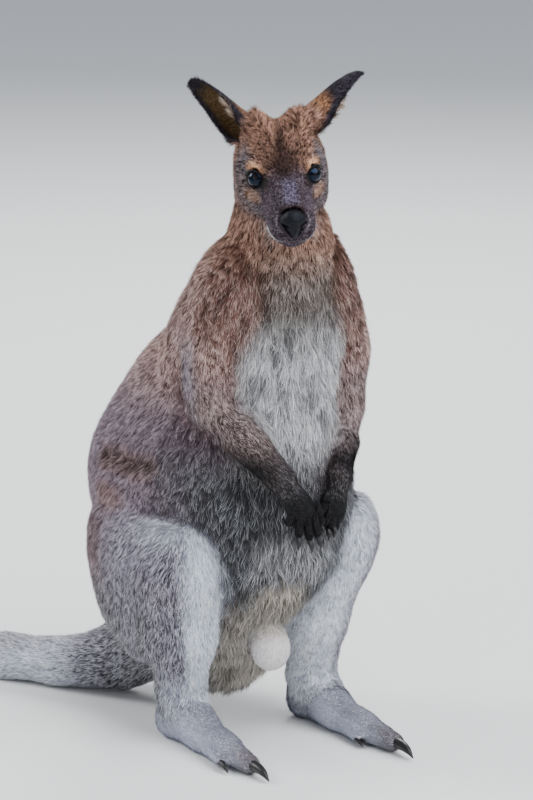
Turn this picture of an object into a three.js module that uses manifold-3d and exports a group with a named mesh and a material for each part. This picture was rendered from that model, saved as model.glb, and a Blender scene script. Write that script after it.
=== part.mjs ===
// A red-necked wallaby, an adult male, standing upright on its long hind feet and its tail, with the paws
// together in front of the belly and the head turned to its right. Life size.
// Millimetres. +Z is up, the chest faces -Y, and +X is the animal's own left.
//
// Each part of the body is a field, a rough distance to its surface made of bones and egg shapes that
// melt together. A capsule of triangles is stretched over that field, ray by ray, and what lies inside
// the part that it grows from is cut away, so the parts meet face to face.
import * as THREE from "three";
import { mergeVertices } from "three/addons/utils/BufferGeometryUtils.js";
import Module from "manifold-3d";

const wasm = await Module();
wasm.setup();

// ---------------------------------------------------------------- driving dimensions
const GAP = 0.3; // left between two parts that touch

const HIP = { out: 62, back: 88, up: 205 };
const KNEE = { right: [-97, -36, 205], left: [88, -36, 220] };
const KNEE_GIRTH = { right: 42, left: 47 };
const SHIN = { right: [-89, -23, 118], left: [70, -21, 118] };
const ANKLE = { out: 80, back: -1, up: 44 };
const HEEL = { out: 81, back: 13, up: 18 };

const SHOULDER = { out: 66, back: -48, up: 464 };
const ELBOW = { right: [-82, -68, 377], left: [77, -74, 358] };
const WRIST = { right: [-35, -137, 300], left: [41, -121, 289] };
const ARM_GIRTH = { right: [28, 22.5, 16], left: [22, 17, 13] }; // radii at elbow, mid forearm and wrist

const HEAD = { at: [-17.5, -104, 607], turn: -24, nod: 18.5, lean: -4 }; // degrees
const EYE = {
  out: 27,
  front: -14,
  up: 15,
  radius: 10.6,
  socket: 11.5, // radius of the bowl round the eyeball
  sunk: 0.6, // how far forward the bowl sits, in eyeball radii
  sides: 14,
  gaze: [0.74, -0.64, 0.18],
};
const LID = { ring: 10.4, thick: 2.3, forward: 4.2 };
const EAR = { length: 88, thick: 3, thinnest: 0.55, points: 8 };

const TAIL = {
  // Points along the middle of the tail, from inside the rump to its tip, and its radius there.
  path: [
    [0, 98, 116],
    [-14, 154, 76],
    [-42, 200, 42],
    [-78, 245, 28],
    [-122, 320, 24],
    [-163, 400, 21.5],
    [-190, 485, 19.5],
    [-204, 575, 17],
    [-208, 665, 14],
    [-205, 745, 11],
    [-199, 795, 8],
  ],
  radii: [62, 50, 38, 29, 25.5, 23, 20.5, 18, 15, 11.5, 7.5],
  cuts: [330, 560], // Y where it is divided
};

// ---------------------------------------------------------------- colours
const material = (color, roughness = 0.9) =>
  new THREE.MeshStandardMaterial({ color, roughness, metalness: 0 });
const COAT = material(0x7d726c);
const RUFOUS = material(0x87654f);
const PALE = material(0xb4afad);
const SABLE = material(0x2c2829);
const HORN = material(0x1b1a1a, 0.35);
const WET = material(0x0b0b0e, 0.08);
const LEATHER = material(0x24232a, 0.5);

// ---------------------------------------------------------------- fields
const at = (x, y, z) => new THREE.Vector3(x, y, z);
const points = (list) => list.map((p) => (p.isVector3 ? p : at(...p)));

// A bone with round ends whose radius runs evenly from one end to the other.
function bone(from, to, startRadius, endRadius) {
  const along = to.clone().sub(from);
  const lengthSquared = along.lengthSq();
  const q = at(0, 0, 0);
  return (p) => {
    const share = THREE.MathUtils.clamp(q.copy(p).sub(from).dot(along) / lengthSquared, 0, 1);
    const radius = THREE.MathUtils.lerp(startRadius, endRadius, share);
    return q.addScaledVector(along, -share).length() - radius;
  };
}

// An egg shape with three half-axes, tipped about X and then turned about Z, in degrees.
function egg(centre, radii, tip = 0, turn = 0) {
  const middle = at(...centre);
  const spin = new THREE.Quaternion()
    .setFromEuler(new THREE.Euler(THREE.MathUtils.degToRad(tip), 0, THREE.MathUtils.degToRad(turn), "ZYX"))
    .invert();
  const half = at(...radii);
  const q = at(0, 0, 0);
  return (p) => {
    q.copy(p).sub(middle).applyQuaternion(spin).divide(half);
    const near = q.length();
    const far = q.divide(half).length();
    return far > 0 ? (near * (near - 1)) / far : -Math.min(...radii);
  };
}

// Two distances melted into one over a width of k.
function melt(a, b, k) {
  const overlap = Math.max(k - Math.abs(a - b), 0);
  return Math.min(a, b) - (overlap * overlap) / (4 * k);
}

const blend =
  (k, ...fields) =>
  (p) =>
    fields.map((field) => field(p)).reduce((a, b) => melt(a, b, k));

// Bones end to end through a list of points.
const chain = (list, radii, k = 6) => {
  const joints = points(list);
  return blend(k, ...joints.slice(1).map((end, i) => bone(joints[i], end, radii[i], radii[i + 1])));
};

// The same field, carried by a matrix.
function carried(field, matrix) {
  const back = matrix.clone().invert();
  const q = at(0, 0, 0);
  return (p) => field(q.copy(p).applyMatrix4(back));
}

// A part's own field, swollen where it runs into what it grows from, so that it flares out onto it.
const joined = (own, ...neighbours) => (p) => {
  const here = own(p);
  return neighbours.reduce((sum, [other, k]) => {
    const overlap = Math.max(k - Math.abs(here - other(p)), 0);
    return sum - (overlap * overlap) / (4 * k);
  }, here);
};

// ---------------------------------------------------------------- from fields to solids
function solid(geometry) {
  const bare = new THREE.BufferGeometry();
  const loose = geometry.index ? geometry.toNonIndexed() : geometry;
  bare.setAttribute("position", loose.getAttribute("position").clone());
  const merged = mergeVertices(bare, 1e-3);
  const corners = merged.index.array;
  const kept = [];
  for (let i = 0; i < corners.length; i += 3) {
    const [a, b, c] = corners.slice(i, i + 3);
    if (a !== b && b !== c && c !== a) kept.push(a, b, c);
  }
  const vertProperties = merged.attributes.position.array;
  const make = (order) =>
    new wasm.Manifold(new wasm.Mesh({ numProp: 3, vertProperties, triVerts: new Uint32Array(order) }));
  const made = make(kept);
  return made.volume() > 0 ? made : make(kept.reverse());
}

const REACH = 400; // the furthest that a ray goes to find a surface
const STRIDE = 3;

// How far a ray from inside a field goes before it comes out.
function outlet(field, from, direction, level = 0) {
  const p = at(0, 0, 0);
  const value = (s) => field(p.copy(from).addScaledVector(direction, s)) - level;
  let far = STRIDE;
  while (value(far) < 0 && far < REACH) far += STRIDE;
  let near = far - STRIDE;
  for (let i = 0; i < 16; i += 1) {
    const middle = (near + far) / 2;
    if (value(middle) < 0) near = middle;
    else far = middle;
  }
  return (near + far) / 2;
}

// A capsule round a bent axis, with each vertex pushed out along its own ray to the surface of the field.
// side is a direction across the axis, which keeps the capsule from twisting.
function wrap(field, axis, { sides = 12, rings = 8, caps = 3, side = at(1, 0, 0), level = 0 } = {}) {
  const capsule = new THREE.CapsuleGeometry(1, 1, caps, sides, rings);
  const line = new THREE.CatmullRomCurve3(points(axis), false, "centripetal");
  const place = capsule.getAttribute("position");
  const centre = at(0, 0, 0);
  const across = at(0, 0, 0);
  const third = at(0, 0, 0);
  const ray = at(0, 0, 0);
  for (let i = 0; i < place.count; i += 1) {
    const height = place.getY(i);
    const share = THREE.MathUtils.clamp(height + 0.5, 0, 1);
    line.getPointAt(share, centre);
    const along = line.getTangentAt(share);
    across.copy(side).addScaledVector(along, -side.dot(along)).normalize();
    third.crossVectors(across, along);
    ray.set(0, 0, 0)
      .addScaledVector(across, place.getX(i))
      .addScaledVector(along, height - THREE.MathUtils.clamp(height, -0.5, 0.5))
      .addScaledVector(third, place.getZ(i))
      .normalize();
    const reach = outlet(field, centre, ray, level);
    centre.addScaledVector(ray, reach);
    place.setXYZ(i, centre.x, centre.y, centre.z);
  }
  return solid(capsule);
}

// A part of the body: a field, the axis inside it and how finely it is wrapped.
const part = (own, axis, detail, ...neighbours) => {
  const surface = joined(own, ...neighbours);
  const exact = wrap(surface, axis, detail);
  const grown = wrap(surface, axis, { ...detail, level: GAP }).add(exact);
  return { exact, grown };
};

// Rings of points joined into a closed skin. Each ring is a strip there and back, so its ends close flat.
function loft(rings) {
  const count = rings[0].length;
  const place = [];
  const quad = (a, b, c, d) => place.push(a, b, c, a, c, d);
  for (let i = 0; i + 1 < rings.length; i += 1) {
    for (let j = 0; j < count; j += 1) {
      const next = (j + 1) % count;
      quad(rings[i][j], rings[i][next], rings[i + 1][next], rings[i + 1][j]);
    }
  }
  const [first, last] = [rings[0], rings[rings.length - 1]];
  for (let j = 0; j + 1 < count / 2; j += 1) {
    const back = count - 1 - j;
    quad(first[j], first[back], first[back - 1], first[j + 1]);
    quad(last[j + 1], last[back - 1], last[back], last[j]);
  }
  const geometry = new THREE.BufferGeometry();
  geometry.setAttribute(
    "position",
    new THREE.Float32BufferAttribute(place.flatMap((p) => [p.x, p.y, p.z]), 3),
  );
  return geometry;
}

const largest = (made) =>
  made.decompose().reduce((best, piece) => (piece.volume() > best.volume() ? piece : best));
const cutBy = (made, ...cutters) => largest(cutters.reduce((rest, cutter) => rest.subtract(cutter), made));
const onFloor = (made) => made.trimByPlane([0, 0, 1], 0);

// A round bar of changing radius along a smooth curve, with blunt ends: a finger, a toe or a claw.
// over is a direction well off the curve's own, which keeps the bar from twisting.
const OVER_TOES = at(0, 0, 1);
const OVER_FINGERS = at(0, 1, 0.2);
function taper(path, radii, { sides = 6, steps = 4, over = OVER_TOES } = {}) {
  const line = new THREE.CatmullRomCurve3(points(path), false, "centripetal");
  const rings = [];
  for (let i = 0; i <= steps; i += 1) {
    const share = i / steps;
    const centre = line.getPointAt(share);
    const along = line.getTangentAt(share);
    const across = over.clone().addScaledVector(along, -along.dot(over)).normalize();
    const third = at(0, 0, 0).crossVectors(along, across);
    const spot = share * (radii.length - 1);
    const low = Math.min(Math.floor(spot), radii.length - 2);
    const radius = THREE.MathUtils.lerp(radii[low], radii[low + 1], spot - low);
    const turns = [...Array(sides).keys()].map((j) => ((j + 0.5) / sides) * 2 * Math.PI);
    rings.push(turns.map((turn) => centre.clone()
      .addScaledVector(across, radius * Math.cos(turn))
      .addScaledVector(third, radius * Math.sin(turn))));
  }
  return solid(loft(rings));
}

// ---------------------------------------------------------------- torso, neck, tail
const torsoField = blend(
  46,
  egg([0, 78, 158], [90, 100, 106], -12),
  egg([-4, 58, 96], [58, 66, 62]),
  egg([0, 65, 264], [131, 163, 130]),
  egg([0, -12, 250], [96, 92, 128]),
  egg([0, 36, 354], [96, 119, 99]),
  egg([0, -40, 388], [74, 72, 100]),
  egg([0, -47, 458], [72, 69, 74], 8),
  ...[-1, 1].map((side) => bone(at(37 * side, -60, 516), at(65 * side, -50, 470), 41, 39)),
  ...[-1, 1].map((side) => bone(at(58 * side, -30, 452), at(70 * side, -2, 420), 24, 27)),
);
const TORSO_AXIS = [[0, 66, 150], [0, 36, 250], [0, 8, 360], [0, -44, 462]];
const NECK = [[0, -57, 486], [-2, -74, 545], [-12, -78, 592]];
const neckField = chain(NECK, [64, 50, 42], 20);
const tailField = chain(TAIL.path, TAIL.radii, 14);
const SCROTUM = [[2, -38, 124], [2, -48, 99]];
const scrotumField = blend(
  8,
  egg([0, -50, 100], [23, 22, 26], 10),
  bone(at(2, -34, 130), at(0, -46, 106), 17, 16),
);

// ---------------------------------------------------------------- hind legs
const SIDES = [["right", -1], ["left", 1]];
const joint = ({ out, back, up }, side) => at(out * side, back, up);

const legFields = (name, side) => {
  const hip = joint(HIP, side);
  const knee = at(...KNEE[name]);
  const shin = at(...SHIN[name]);
  const ankle = joint(ANKLE, side);
  const heel = joint(HEEL, side);
  const ball = at(84 * side, -96, 15);
  const thigh = blend(
    34,
    egg([73 * side, 63, 194], [63, 111, 84], -10, 6 * side),
    egg([79 * side, 62, 138], [48, 80, 66], -14),
    bone(hip, knee, 64, KNEE_GIRTH[name]),
    bone(at(84 * side, 40, 110), at(86 * side, 4, 104), 30, 36),
  );
  const shank = blend(
    18,
    bone(knee.clone().add(at(0, 8, -12)), shin, 31, 33.5),
    bone(shin, ankle, 33, 23),
    bone(shin.clone().add(at(0, 26, 10)), ankle, 30, 21),
    bone(knee.clone().add(at(-5 * side, 6, -34)), shin.clone().add(at(4 * side, 2, 12)), 40, 33),
  );
  const foot = blend(
    14,
    bone(ankle, heel, 25, 18.5),
    bone(heel, ball, 19, 17),
    bone(ankle, at(82 * side, -56, 20), 26, 20),
    bone(ball, at(87 * side, -164, 11), 17, 11),
  );
  return { thigh, shank, foot, hip, knee, shin, ankle, heel, ball };
};
const legs = { right: legFields("right", -1), left: legFields("left", 1) };

// The toes beside the long one: a short outer toe and, inside, the thin pair that share one sheath.
const TOES = {
  outer: { path: [[95, -78, 14], [101, -112, 12], [105, -130, 9]], radii: [10, 9.5, 7] },
  inner: { path: [[72, -78, 13], [68, -104, 11], [67, -122, 8]], radii: [9, 8, 6] },
};
const TOE_CLAWS = {
  long: { path: [[87, -168, 10], [87, -182, 9], [87, -195, 4]], radii: [6, 4.6, 1.2] },
  outer: { path: [[106, -131, 8], [107, -139, 7], [107.5, -147, 3]], radii: [4, 3.2, 1] },
  inner_a: { path: [[69.5, -122, 7], [69, -129, 6], [69, -135, 3]], radii: [2.3, 1.8, 0.8] },
  inner_b: { path: [[64.5, -121, 7], [64, -128, 6], [63.5, -134, 3]], radii: [2.3, 1.8, 0.8] },
};

// ---------------------------------------------------------------- arms
// Each hand: its palm from the wrist to the knuckles, and five fingers from thumb to little finger.
const HAND = {
  right: {
    knuckles: [-19, -147, 268],
    palm: [18.5, 11, 21],
    roots: [[-2, -147, 270], [-8, -150, 262], [-17, -151, 260], [-26, -150, 262], [-32, -147, 268]],
    tips: [[4, -145, 252], [-3, -151, 242], [-14, -153, 240], [-26, -151, 244], [-38, -147, 257]],
    claws: [[8, -146, 242], [0, -153, 229], [-13, -156, 227], [-28, -153, 231], [-43, -149, 247]],
  },
  left: {
    knuckles: [33, -122, 261],
    palm: [17, 11.5, 21],
    roots: [[20, -124, 266], [26, -125, 258], [32, -125, 256], [38, -124, 257], [43, -122, 263]],
    tips: [[12, -124, 257], [18, -125, 246], [25, -125, 242], [32, -124, 244], [39, -121, 250]],
    claws: [[9, -126, 248], [16, -127, 235], [24, -128, 230], [31, -127, 232], [38, -123, 238]],
  },
};
const FINGER_GIRTH = [6, 6.2, 5];
const FINGER_KNUCKLE = 0.6; // share of the way from its root to its tip
const CLAW_GIRTH = [2.7, 2.2, 0.8];
const CLAW_DETAIL = { sides: 5, steps: 3 };
const CLAW_BED = 0.1; // how far back into the finger it starts, as a share of the finger
const CLAW_BEND = { share: 0.6, forward: 1.5 };

const armFields = (name, side) => {
  const shoulder = joint(SHOULDER, side);
  const elbow = at(...ELBOW[name]);
  const wrist = at(...WRIST[name]);
  const [stout, middle, slim] = ARM_GIRTH[name];
  const upper = blend(
    18,
    bone(shoulder, elbow, 38, stout),
    egg([75 * side + 4, -54, 424], [33, 41, 56], 6),
  );
  const fore = chain([elbow, elbow.clone().lerp(wrist, 0.45), wrist], [stout - 5, middle, slim], 10);
  const { knuckles, palm } = HAND[name];
  const heelOfHand = at(...knuckles).lerp(wrist, 0.5);
  const hand = blend(10, bone(wrist, heelOfHand, slim + 1, slim), egg(knuckles, palm));
  return { upper, fore, hand, shoulder, elbow, wrist, knuckles };
};
const arms = { right: armFields("right", -1), left: armFields("left", 1) };

// ---------------------------------------------------------------- head
const { degToRad } = THREE.MathUtils;
const headMatrix = new THREE.Matrix4().compose(
  at(...HEAD.at),
  new THREE.Quaternion().setFromEuler(
    new THREE.Euler(degToRad(HEAD.nod), degToRad(HEAD.lean), degToRad(HEAD.turn), "ZYX"),
  ),
  at(1, 1, 1),
);
const inHead = (x, y, z) => at(x, y, z).applyMatrix4(headMatrix);
const headWay = (x, y, z) => at(x, y, z).transformDirection(headMatrix);
const pair = (make) => [make(-1), make(1)];

const skullField = blend(
  14,
  egg([0, 26, 15], [48, 46, 35]),
  egg([0, 2, 16], [35, 34, 24]),
  egg([0, 34, 25], [36, 30, 22]),
  ...pair((side) => egg([23 * side, 12, -10], [26, 38, 32])),
  ...pair((side) => egg([22 * side, 32, 54], [14, 16, 18])),
  bone(at(0, -16, 15), at(0, -77, 3.5), 19, 12.5),
  bone(at(0, -14, 0), at(0, -64, -8), 31, 18.5),
  ...pair((side) => egg([10.5 * side, -65, -14], [14, 22, 15.5])),
  bone(at(0, 6, -28), at(0, -62, -29), 24, 11),
);
const headField = carried(skullField, headMatrix);
const NOSE = carried(
  blend(5, egg([0, -82, 3], [14.6, 9.5, 10.5], -24), egg([0, -85.5, -7.5], [8.2, 6.5, 10.5])),
  headMatrix,
);
const NOSTRIL = { out: 8.6, front: -93, up: -1.5, size: [3.4, 6, 2.4], tip: 20, turn: 38 };
const MOUTH = {
  corner: [31, -42, -16],
  middle: [22, -62, -25],
  front: [0, -90, -27],
  depth: 2.6,
  width: 2,
  steps: 18,
};

// A point on the skin of the head, found from inside through a point given in the head's own frame.
function onFace(x, y, z) {
  const target = inHead(x, y, z);
  const from = inHead(0, Math.max(y, -60), -8);
  const way = target.sub(from).normalize();
  return from.clone().addScaledVector(way, outlet(headField, from, way));
}

// The line of the mouth: a thin diamond carried along the skin from one corner to the other.
function mouthLine() {
  const { corner, middle, front, depth, width, steps } = MOUTH;
  const mirror = ([x, y, z]) => [-x, y, z];
  const turns = [mirror(corner), mirror(middle), front, middle, corner];
  const guide = new THREE.CatmullRomCurve3(points(turns));
  const route = guide.getSpacedPoints(steps).map(({ x, y, z }) => onFace(x, y, z));
  const diamond = new THREE.Shape([
    new THREE.Vector2(-depth, 0),
    new THREE.Vector2(0, -width),
    new THREE.Vector2(depth, 0),
    new THREE.Vector2(0, width),
  ]);
  const line = new THREE.CatmullRomCurve3(route, false, "centripetal");
  return solid(new THREE.ExtrudeGeometry(diamond, { steps, extrudePath: line, bevelEnabled: false }));
}

const gazeOf = (side) => headWay(EYE.gaze[0] * side, EYE.gaze[1], EYE.gaze[2]);
const eyeAt = (side) => inHead(EYE.out * side, EYE.front, EYE.up);
// A sphere with its pole towards `gaze`.
function ball(centre, radius, gaze) {
  const sphere = new THREE.SphereGeometry(radius, EYE.sides, 8);
  sphere.rotateX(Math.PI / 2);
  sphere.applyQuaternion(new THREE.Quaternion().setFromUnitVectors(at(0, 0, 1), gaze));
  sphere.translate(...centre);
  return solid(sphere);
}
// The rim of the lids: a ring that hugs the eyeball.
function lid(side) {
  const gaze = gazeOf(side);
  const ring = new THREE.TorusGeometry(LID.ring, LID.thick, 5, EYE.sides);
  ring.applyQuaternion(new THREE.Quaternion().setFromUnitVectors(at(0, 0, 1), gaze));
  ring.translate(...eyeAt(side).addScaledVector(gaze, LID.forward));
  return solid(ring);
}

// An ear is part of a tube that opens towards `mouth`: a closed funnel at its root, a cup, then a point.
// Each row: share of the length, radius, half-angle that the wall covers, and how far it leans back.
const EAR_ROWS = [
  [-0.16, 12, 150, 0],
  [0.04, 14.5, 148, -2],
  [0.18, 16.5, 134, -3.5],
  [0.33, 17, 114, -3.5],
  [0.48, 16.3, 98, -3],
  [0.62, 14.8, 87, -2],
  [0.76, 12.4, 78, -1],
  [0.88, 9.4, 72, -0.5],
  [0.96, 6.2, 68, -0.3],
  [1, 3.6, 64, 0],
];
function ear(root, axis, mouth) {
  const ahead = mouth.clone().addScaledVector(axis, -mouth.dot(axis)).normalize();
  const across = at(0, 0, 0).crossVectors(axis, ahead);
  const rings = EAR_ROWS.map(([share, radius, angle, lean]) => {
    const centre = root.clone().addScaledVector(axis, share * EAR.length).addScaledVector(ahead, -lean);
    const wall = Math.min(EAR.thick, radius * EAR.thinnest);
    const spot = (reach, k) => {
      const turn = degToRad(angle) * (2 * (k / (EAR.points - 1)) - 1);
      return centre.clone()
        .addScaledVector(ahead, -reach * Math.cos(turn))
        .addScaledVector(across, reach * Math.sin(turn));
    };
    const steps = [...Array(EAR.points).keys()];
    return [...steps.map((k) => spot(radius, k)), ...steps.reverse().map((k) => spot(radius - wall, k))];
  });
  return solid(loft(rings));
}
const EARS = {
  right: { root: [-26, 34, 39], axis: [-0.475, 0.655, 0.588], mouth: [-0.85, -0.45, -0.26] },
  left: { root: [25.5, 34, 45.5], axis: [0.835, 0.03, 0.55], mouth: [0.7, -0.23, -0.74] },
};

// ---------------------------------------------------------------- building
const nodes = new THREE.Group();
function place(name, made, look) {
  const mesh = made.getMesh();
  const step = mesh.numProp;
  const flat = new Float32Array(mesh.numVert * 3);
  for (let i = 0; i < mesh.numVert; i += 1) {
    flat.set(mesh.vertProperties.subarray(i * step, i * step + 3), i * 3);
  }
  const geometry = new THREE.BufferGeometry();
  geometry.setAttribute("position", new THREE.BufferAttribute(flat, 3));
  geometry.setIndex(new THREE.BufferAttribute(mesh.triVerts, 1));
  geometry.computeVertexNormals();
  const node = new THREE.Mesh(geometry, look);
  node.name = name;
  nodes.add(node);
}

const torso = part(torsoField, TORSO_AXIS, { sides: 30, rings: 17, caps: 5 });
place("torso", torso.exact, COAT);

const neck = part(neckField, NECK, { sides: 22, rings: 6, caps: 3 }, [torsoField, 18]);
place("neck", cutBy(neck.exact, torso.grown), RUFOUS);

const tail = part(tailField, TAIL.path, { sides: 12, rings: 22, caps: 2 }, [torsoField, 24]);
const wholeTail = onFloor(cutBy(tail.exact, torso.grown));
const [firstCut, secondCut] = TAIL.cuts;
place("tail_base", largest(wholeTail.trimByPlane([0, -1, 0], -firstCut + GAP / 2)), COAT);
const behindFirst = wholeTail.trimByPlane([0, 1, 0], firstCut + GAP / 2);
place("tail_middle", largest(behindFirst.trimByPlane([0, -1, 0], -secondCut + GAP / 2)), PALE);
place("tail_tip", largest(wholeTail.trimByPlane([0, 1, 0], secondCut + GAP / 2)), SABLE);

const scrotum = part(scrotumField, SCROTUM, { sides: 12, rings: 3, caps: 3 });
place("scrotum", cutBy(scrotum.exact, torso.grown), PALE);

for (const [name, side] of SIDES) {
  const leg = legs[name];
  const outward = (list) => list.map(([x, y, z]) => [x * side, y, z]);
  const thigh = part(
    leg.thigh,
    [[73 * side, 78, 164], leg.hip.clone().lerp(leg.knee, 0.8)],
    { sides: 18, rings: 8, caps: 5, side: at(0, 0, 1) },
    [torsoField, 16],
  );
  const shank = part(
    leg.shank,
    [leg.knee.clone().add(at(0, 8, -14)), leg.ankle.clone().add(at(0, 0, 8))],
    { sides: 16, rings: 8, caps: 3 },
    [leg.thigh, 10],
    [leg.foot, 12],
  );
  const foot = part(
    leg.foot,
    [leg.heel, [82 * side, -30, 19], leg.ball, [86 * side, -140, 12]],
    { sides: 12, rings: 9, caps: 3 },
  );
  const thighCutters = [torso.grown, tail.grown, scrotum.grown, foot.grown];
  place(`thigh_${name}`, cutBy(thigh.exact, ...thighCutters), COAT);
  const shankCutters = [thigh.grown, torso.grown, scrotum.grown, foot.grown];
  place(`shank_${name}`, cutBy(shank.exact, ...shankCutters), PALE);
  const toes = Object.values(TOES).map(({ path, radii }) => taper(outward(path), radii));
  const wholeFoot = toes.reduce((sum, toe) => sum.add(toe), foot.exact);
  place(`foot_${name}`, onFloor(wholeFoot), PALE);
  for (const [toe, { path, radii }] of Object.entries(TOE_CLAWS)) {
    const claw = taper(outward(path), radii, CLAW_DETAIL);
    place(`toe_claw_${toe}_${name}`, onFloor(cutBy(claw, wholeFoot)), HORN);
  }

  const arm = arms[name];
  const upper = part(
    arm.upper,
    [arm.shoulder, arm.elbow],
    { sides: 16, rings: 6, caps: 4 },
    [torsoField, 12],
  );
  const fore = part(
    arm.fore,
    [arm.elbow, arm.wrist],
    { sides: 14, rings: 7, caps: 3 },
    [arm.upper, 10],
    [arm.hand, 8],
  );
  const palm = part(arm.hand, [arm.wrist, arm.knuckles], { sides: 12, rings: 4, caps: 3 });
  place(`upper_arm_${name}`, cutBy(upper.exact, torso.grown, neck.grown), COAT);
  place(`forearm_${name}`, cutBy(fore.exact, upper.grown, torso.grown, palm.grown), COAT);
  const { roots, tips, claws } = HAND[name];
  const fingers = roots.map((root, i) => {
    const knuckle = at(...root).lerp(at(...tips[i]), FINGER_KNUCKLE);
    return taper([root, knuckle, tips[i]], FINGER_GIRTH, { steps: 3, over: OVER_FINGERS });
  });
  const hand = fingers.reduce((sum, finger) => sum.add(finger), palm.exact);
  place(`hand_${name}`, hand, SABLE);
  claws.forEach((tip, i) => {
    const base = at(...tips[i]);
    const bend = base.clone().lerp(at(...tip), CLAW_BEND.share).add(at(0, -CLAW_BEND.forward, 0));
    const bed = base.clone().lerp(at(...roots[i]), CLAW_BED);
    const claw = taper([bed, bend, tip], CLAW_GIRTH, { ...CLAW_DETAIL, over: OVER_FINGERS });
    place(`claw_${i + 1}_${name}`, cutBy(claw, hand), HORN);
  });
}

const head = part(
  headField,
  [inHead(0, 28, 12), inHead(0, -60, -8)],
  { sides: 26, rings: 12, caps: 5, side: headWay(1, 0, 0) },
  [neckField, 8],
);
const noseAxis = [inHead(0, -82, 6), inHead(0, -84, -2)];
const noseDetail = { sides: 14, rings: 2, caps: 3, side: headWay(1, 0, 0) };
const nose = part(NOSE, noseAxis, noseDetail);
const nostrils = pair((side) => {
  const { out, front, up, size, tip, turn } = NOSTRIL;
  const hollow = carried(egg([out * side, front, up], size, tip, turn * side), headMatrix);
  const way = [inHead(out * side, front + 1, up), inHead(out * side, front - 1, up)];
  return wrap(hollow, way, { sides: 8, rings: 1 });
});
place("nose", cutBy(nose.exact, ...nostrils), LEATHER);
const eyes = pair((side) => ({
  exact: ball(eyeAt(side), EYE.radius, gazeOf(side)),
  grown: ball(eyeAt(side), EYE.radius + GAP, gazeOf(side)),
}));
const bowls = pair((side) => {
  const gaze = gazeOf(side);
  return ball(eyeAt(side).addScaledVector(gaze, EYE.radius * EYE.sunk), EYE.socket, gaze);
});
const withLids = pair(lid).reduce((sum, ring) => sum.add(ring), cutBy(head.exact, ...bowls));
const wholeHead = cutBy(
  withLids,
  mouthLine(),
  nose.grown,
  ...eyes.map((eye) => eye.grown),
  neck.grown,
  torso.grown,
);
place("head", wholeHead, RUFOUS);
SIDES.forEach(([name, side], i) => {
  place(`eye_${name}`, eyes[i].exact, WET);
  const root = inHead(...EARS[name].root);
  const { axis, mouth } = EARS[name];
  place(`ear_${name}`, cutBy(ear(root, at(...axis).normalize(), at(...mouth)), head.grown), RUFOUS);
});

// The origin is the middle of the whole animal's box, on the floor.
const box = new THREE.Box3().setFromObject(nodes);
const middle = box.getCenter(at(0, 0, 0));
nodes.position.set(-middle.x, -middle.y, 0);

export default nodes;
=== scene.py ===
# %% [markdown]
# # A standing red-necked wallaby
# An adult male rests upright on his long hind feet and the root of his tail, hands together in front of the
# belly and head turned to his right. The solids of the frame give his outline out to the tips of the coat.
# Here he gets one skin, a dense coat of tufts, eyes with lids, a leathery nose, ears, whiskers and claws.
#
# Lengths of the body are written in millimetres in the animal's own frame: +X is his left, the chest faces
# -Y and +Z is up. One call, `world`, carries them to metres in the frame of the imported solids.

import bmesh
import bpy
import numpy as np
from mathutils import Matrix, Vector

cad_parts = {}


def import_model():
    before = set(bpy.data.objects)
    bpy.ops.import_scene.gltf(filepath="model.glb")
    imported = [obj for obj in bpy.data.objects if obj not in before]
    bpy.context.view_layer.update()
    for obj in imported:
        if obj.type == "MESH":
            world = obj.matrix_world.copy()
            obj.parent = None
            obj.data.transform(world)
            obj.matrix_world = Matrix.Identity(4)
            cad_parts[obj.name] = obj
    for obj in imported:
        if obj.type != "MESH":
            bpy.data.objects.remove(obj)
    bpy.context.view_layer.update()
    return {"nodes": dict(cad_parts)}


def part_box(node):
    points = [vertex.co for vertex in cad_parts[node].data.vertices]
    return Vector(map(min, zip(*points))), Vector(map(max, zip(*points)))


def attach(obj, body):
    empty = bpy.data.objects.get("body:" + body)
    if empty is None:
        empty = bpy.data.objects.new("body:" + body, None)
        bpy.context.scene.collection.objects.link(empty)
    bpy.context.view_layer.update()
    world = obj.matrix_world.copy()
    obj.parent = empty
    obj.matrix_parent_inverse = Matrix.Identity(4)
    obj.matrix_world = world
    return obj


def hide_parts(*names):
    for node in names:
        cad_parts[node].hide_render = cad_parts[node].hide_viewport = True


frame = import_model()

# %% [markdown]
# ## Small tools for points in bulk
# Every surface below is worked out on whole arrays of points. A *gap* is a rough distance from a point to a
# shape: negative inside it. Bones and eggs are the two shapes, and `melt` runs two gaps together smoothly.

# %% Points, bones and eggs
MM = 0.001


def unit(v):
    """Each vector divided by its own length."""
    return v / np.maximum(np.linalg.norm(v, axis=-1, keepdims=True), 1e-9)


def dot(a, b):
    return np.sum(a * b, axis=-1, keepdims=True)


def ease(low, high, value):
    """0 below low, 1 above high and a smooth S between; it falls instead where low is above high."""
    share = np.clip((value - low) / (high - low), 0, 1)
    return share * share * (3 - 2 * share)


def turned(x_deg, y_deg, z_deg):
    """The matrix that turns about X, then about Y, then about Z."""
    x, y, z = np.radians([x_deg, y_deg, z_deg])
    about_x = [[1, 0, 0], [0, np.cos(x), -np.sin(x)], [0, np.sin(x), np.cos(x)]]
    about_y = [[np.cos(y), 0, np.sin(y)], [0, 1, 0], [-np.sin(y), 0, np.cos(y)]]
    about_z = [[np.cos(z), -np.sin(z), 0], [np.sin(z), np.cos(z), 0], [0, 0, 1]]
    return np.array(about_z) @ np.array(about_y) @ np.array(about_x)


def bone(p, start, end, start_radius, end_radius):
    """Distance to the nearest point of a line, less a radius that runs evenly along it."""
    start, end = np.array(start, float), np.array(end, float)
    along = end - start
    share = np.clip((p - start) @ along / (along @ along), 0, 1)
    reach = np.linalg.norm(p - start - share[..., None] * along, axis=-1)
    return reach - (start_radius + share * (end_radius - start_radius))


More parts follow.
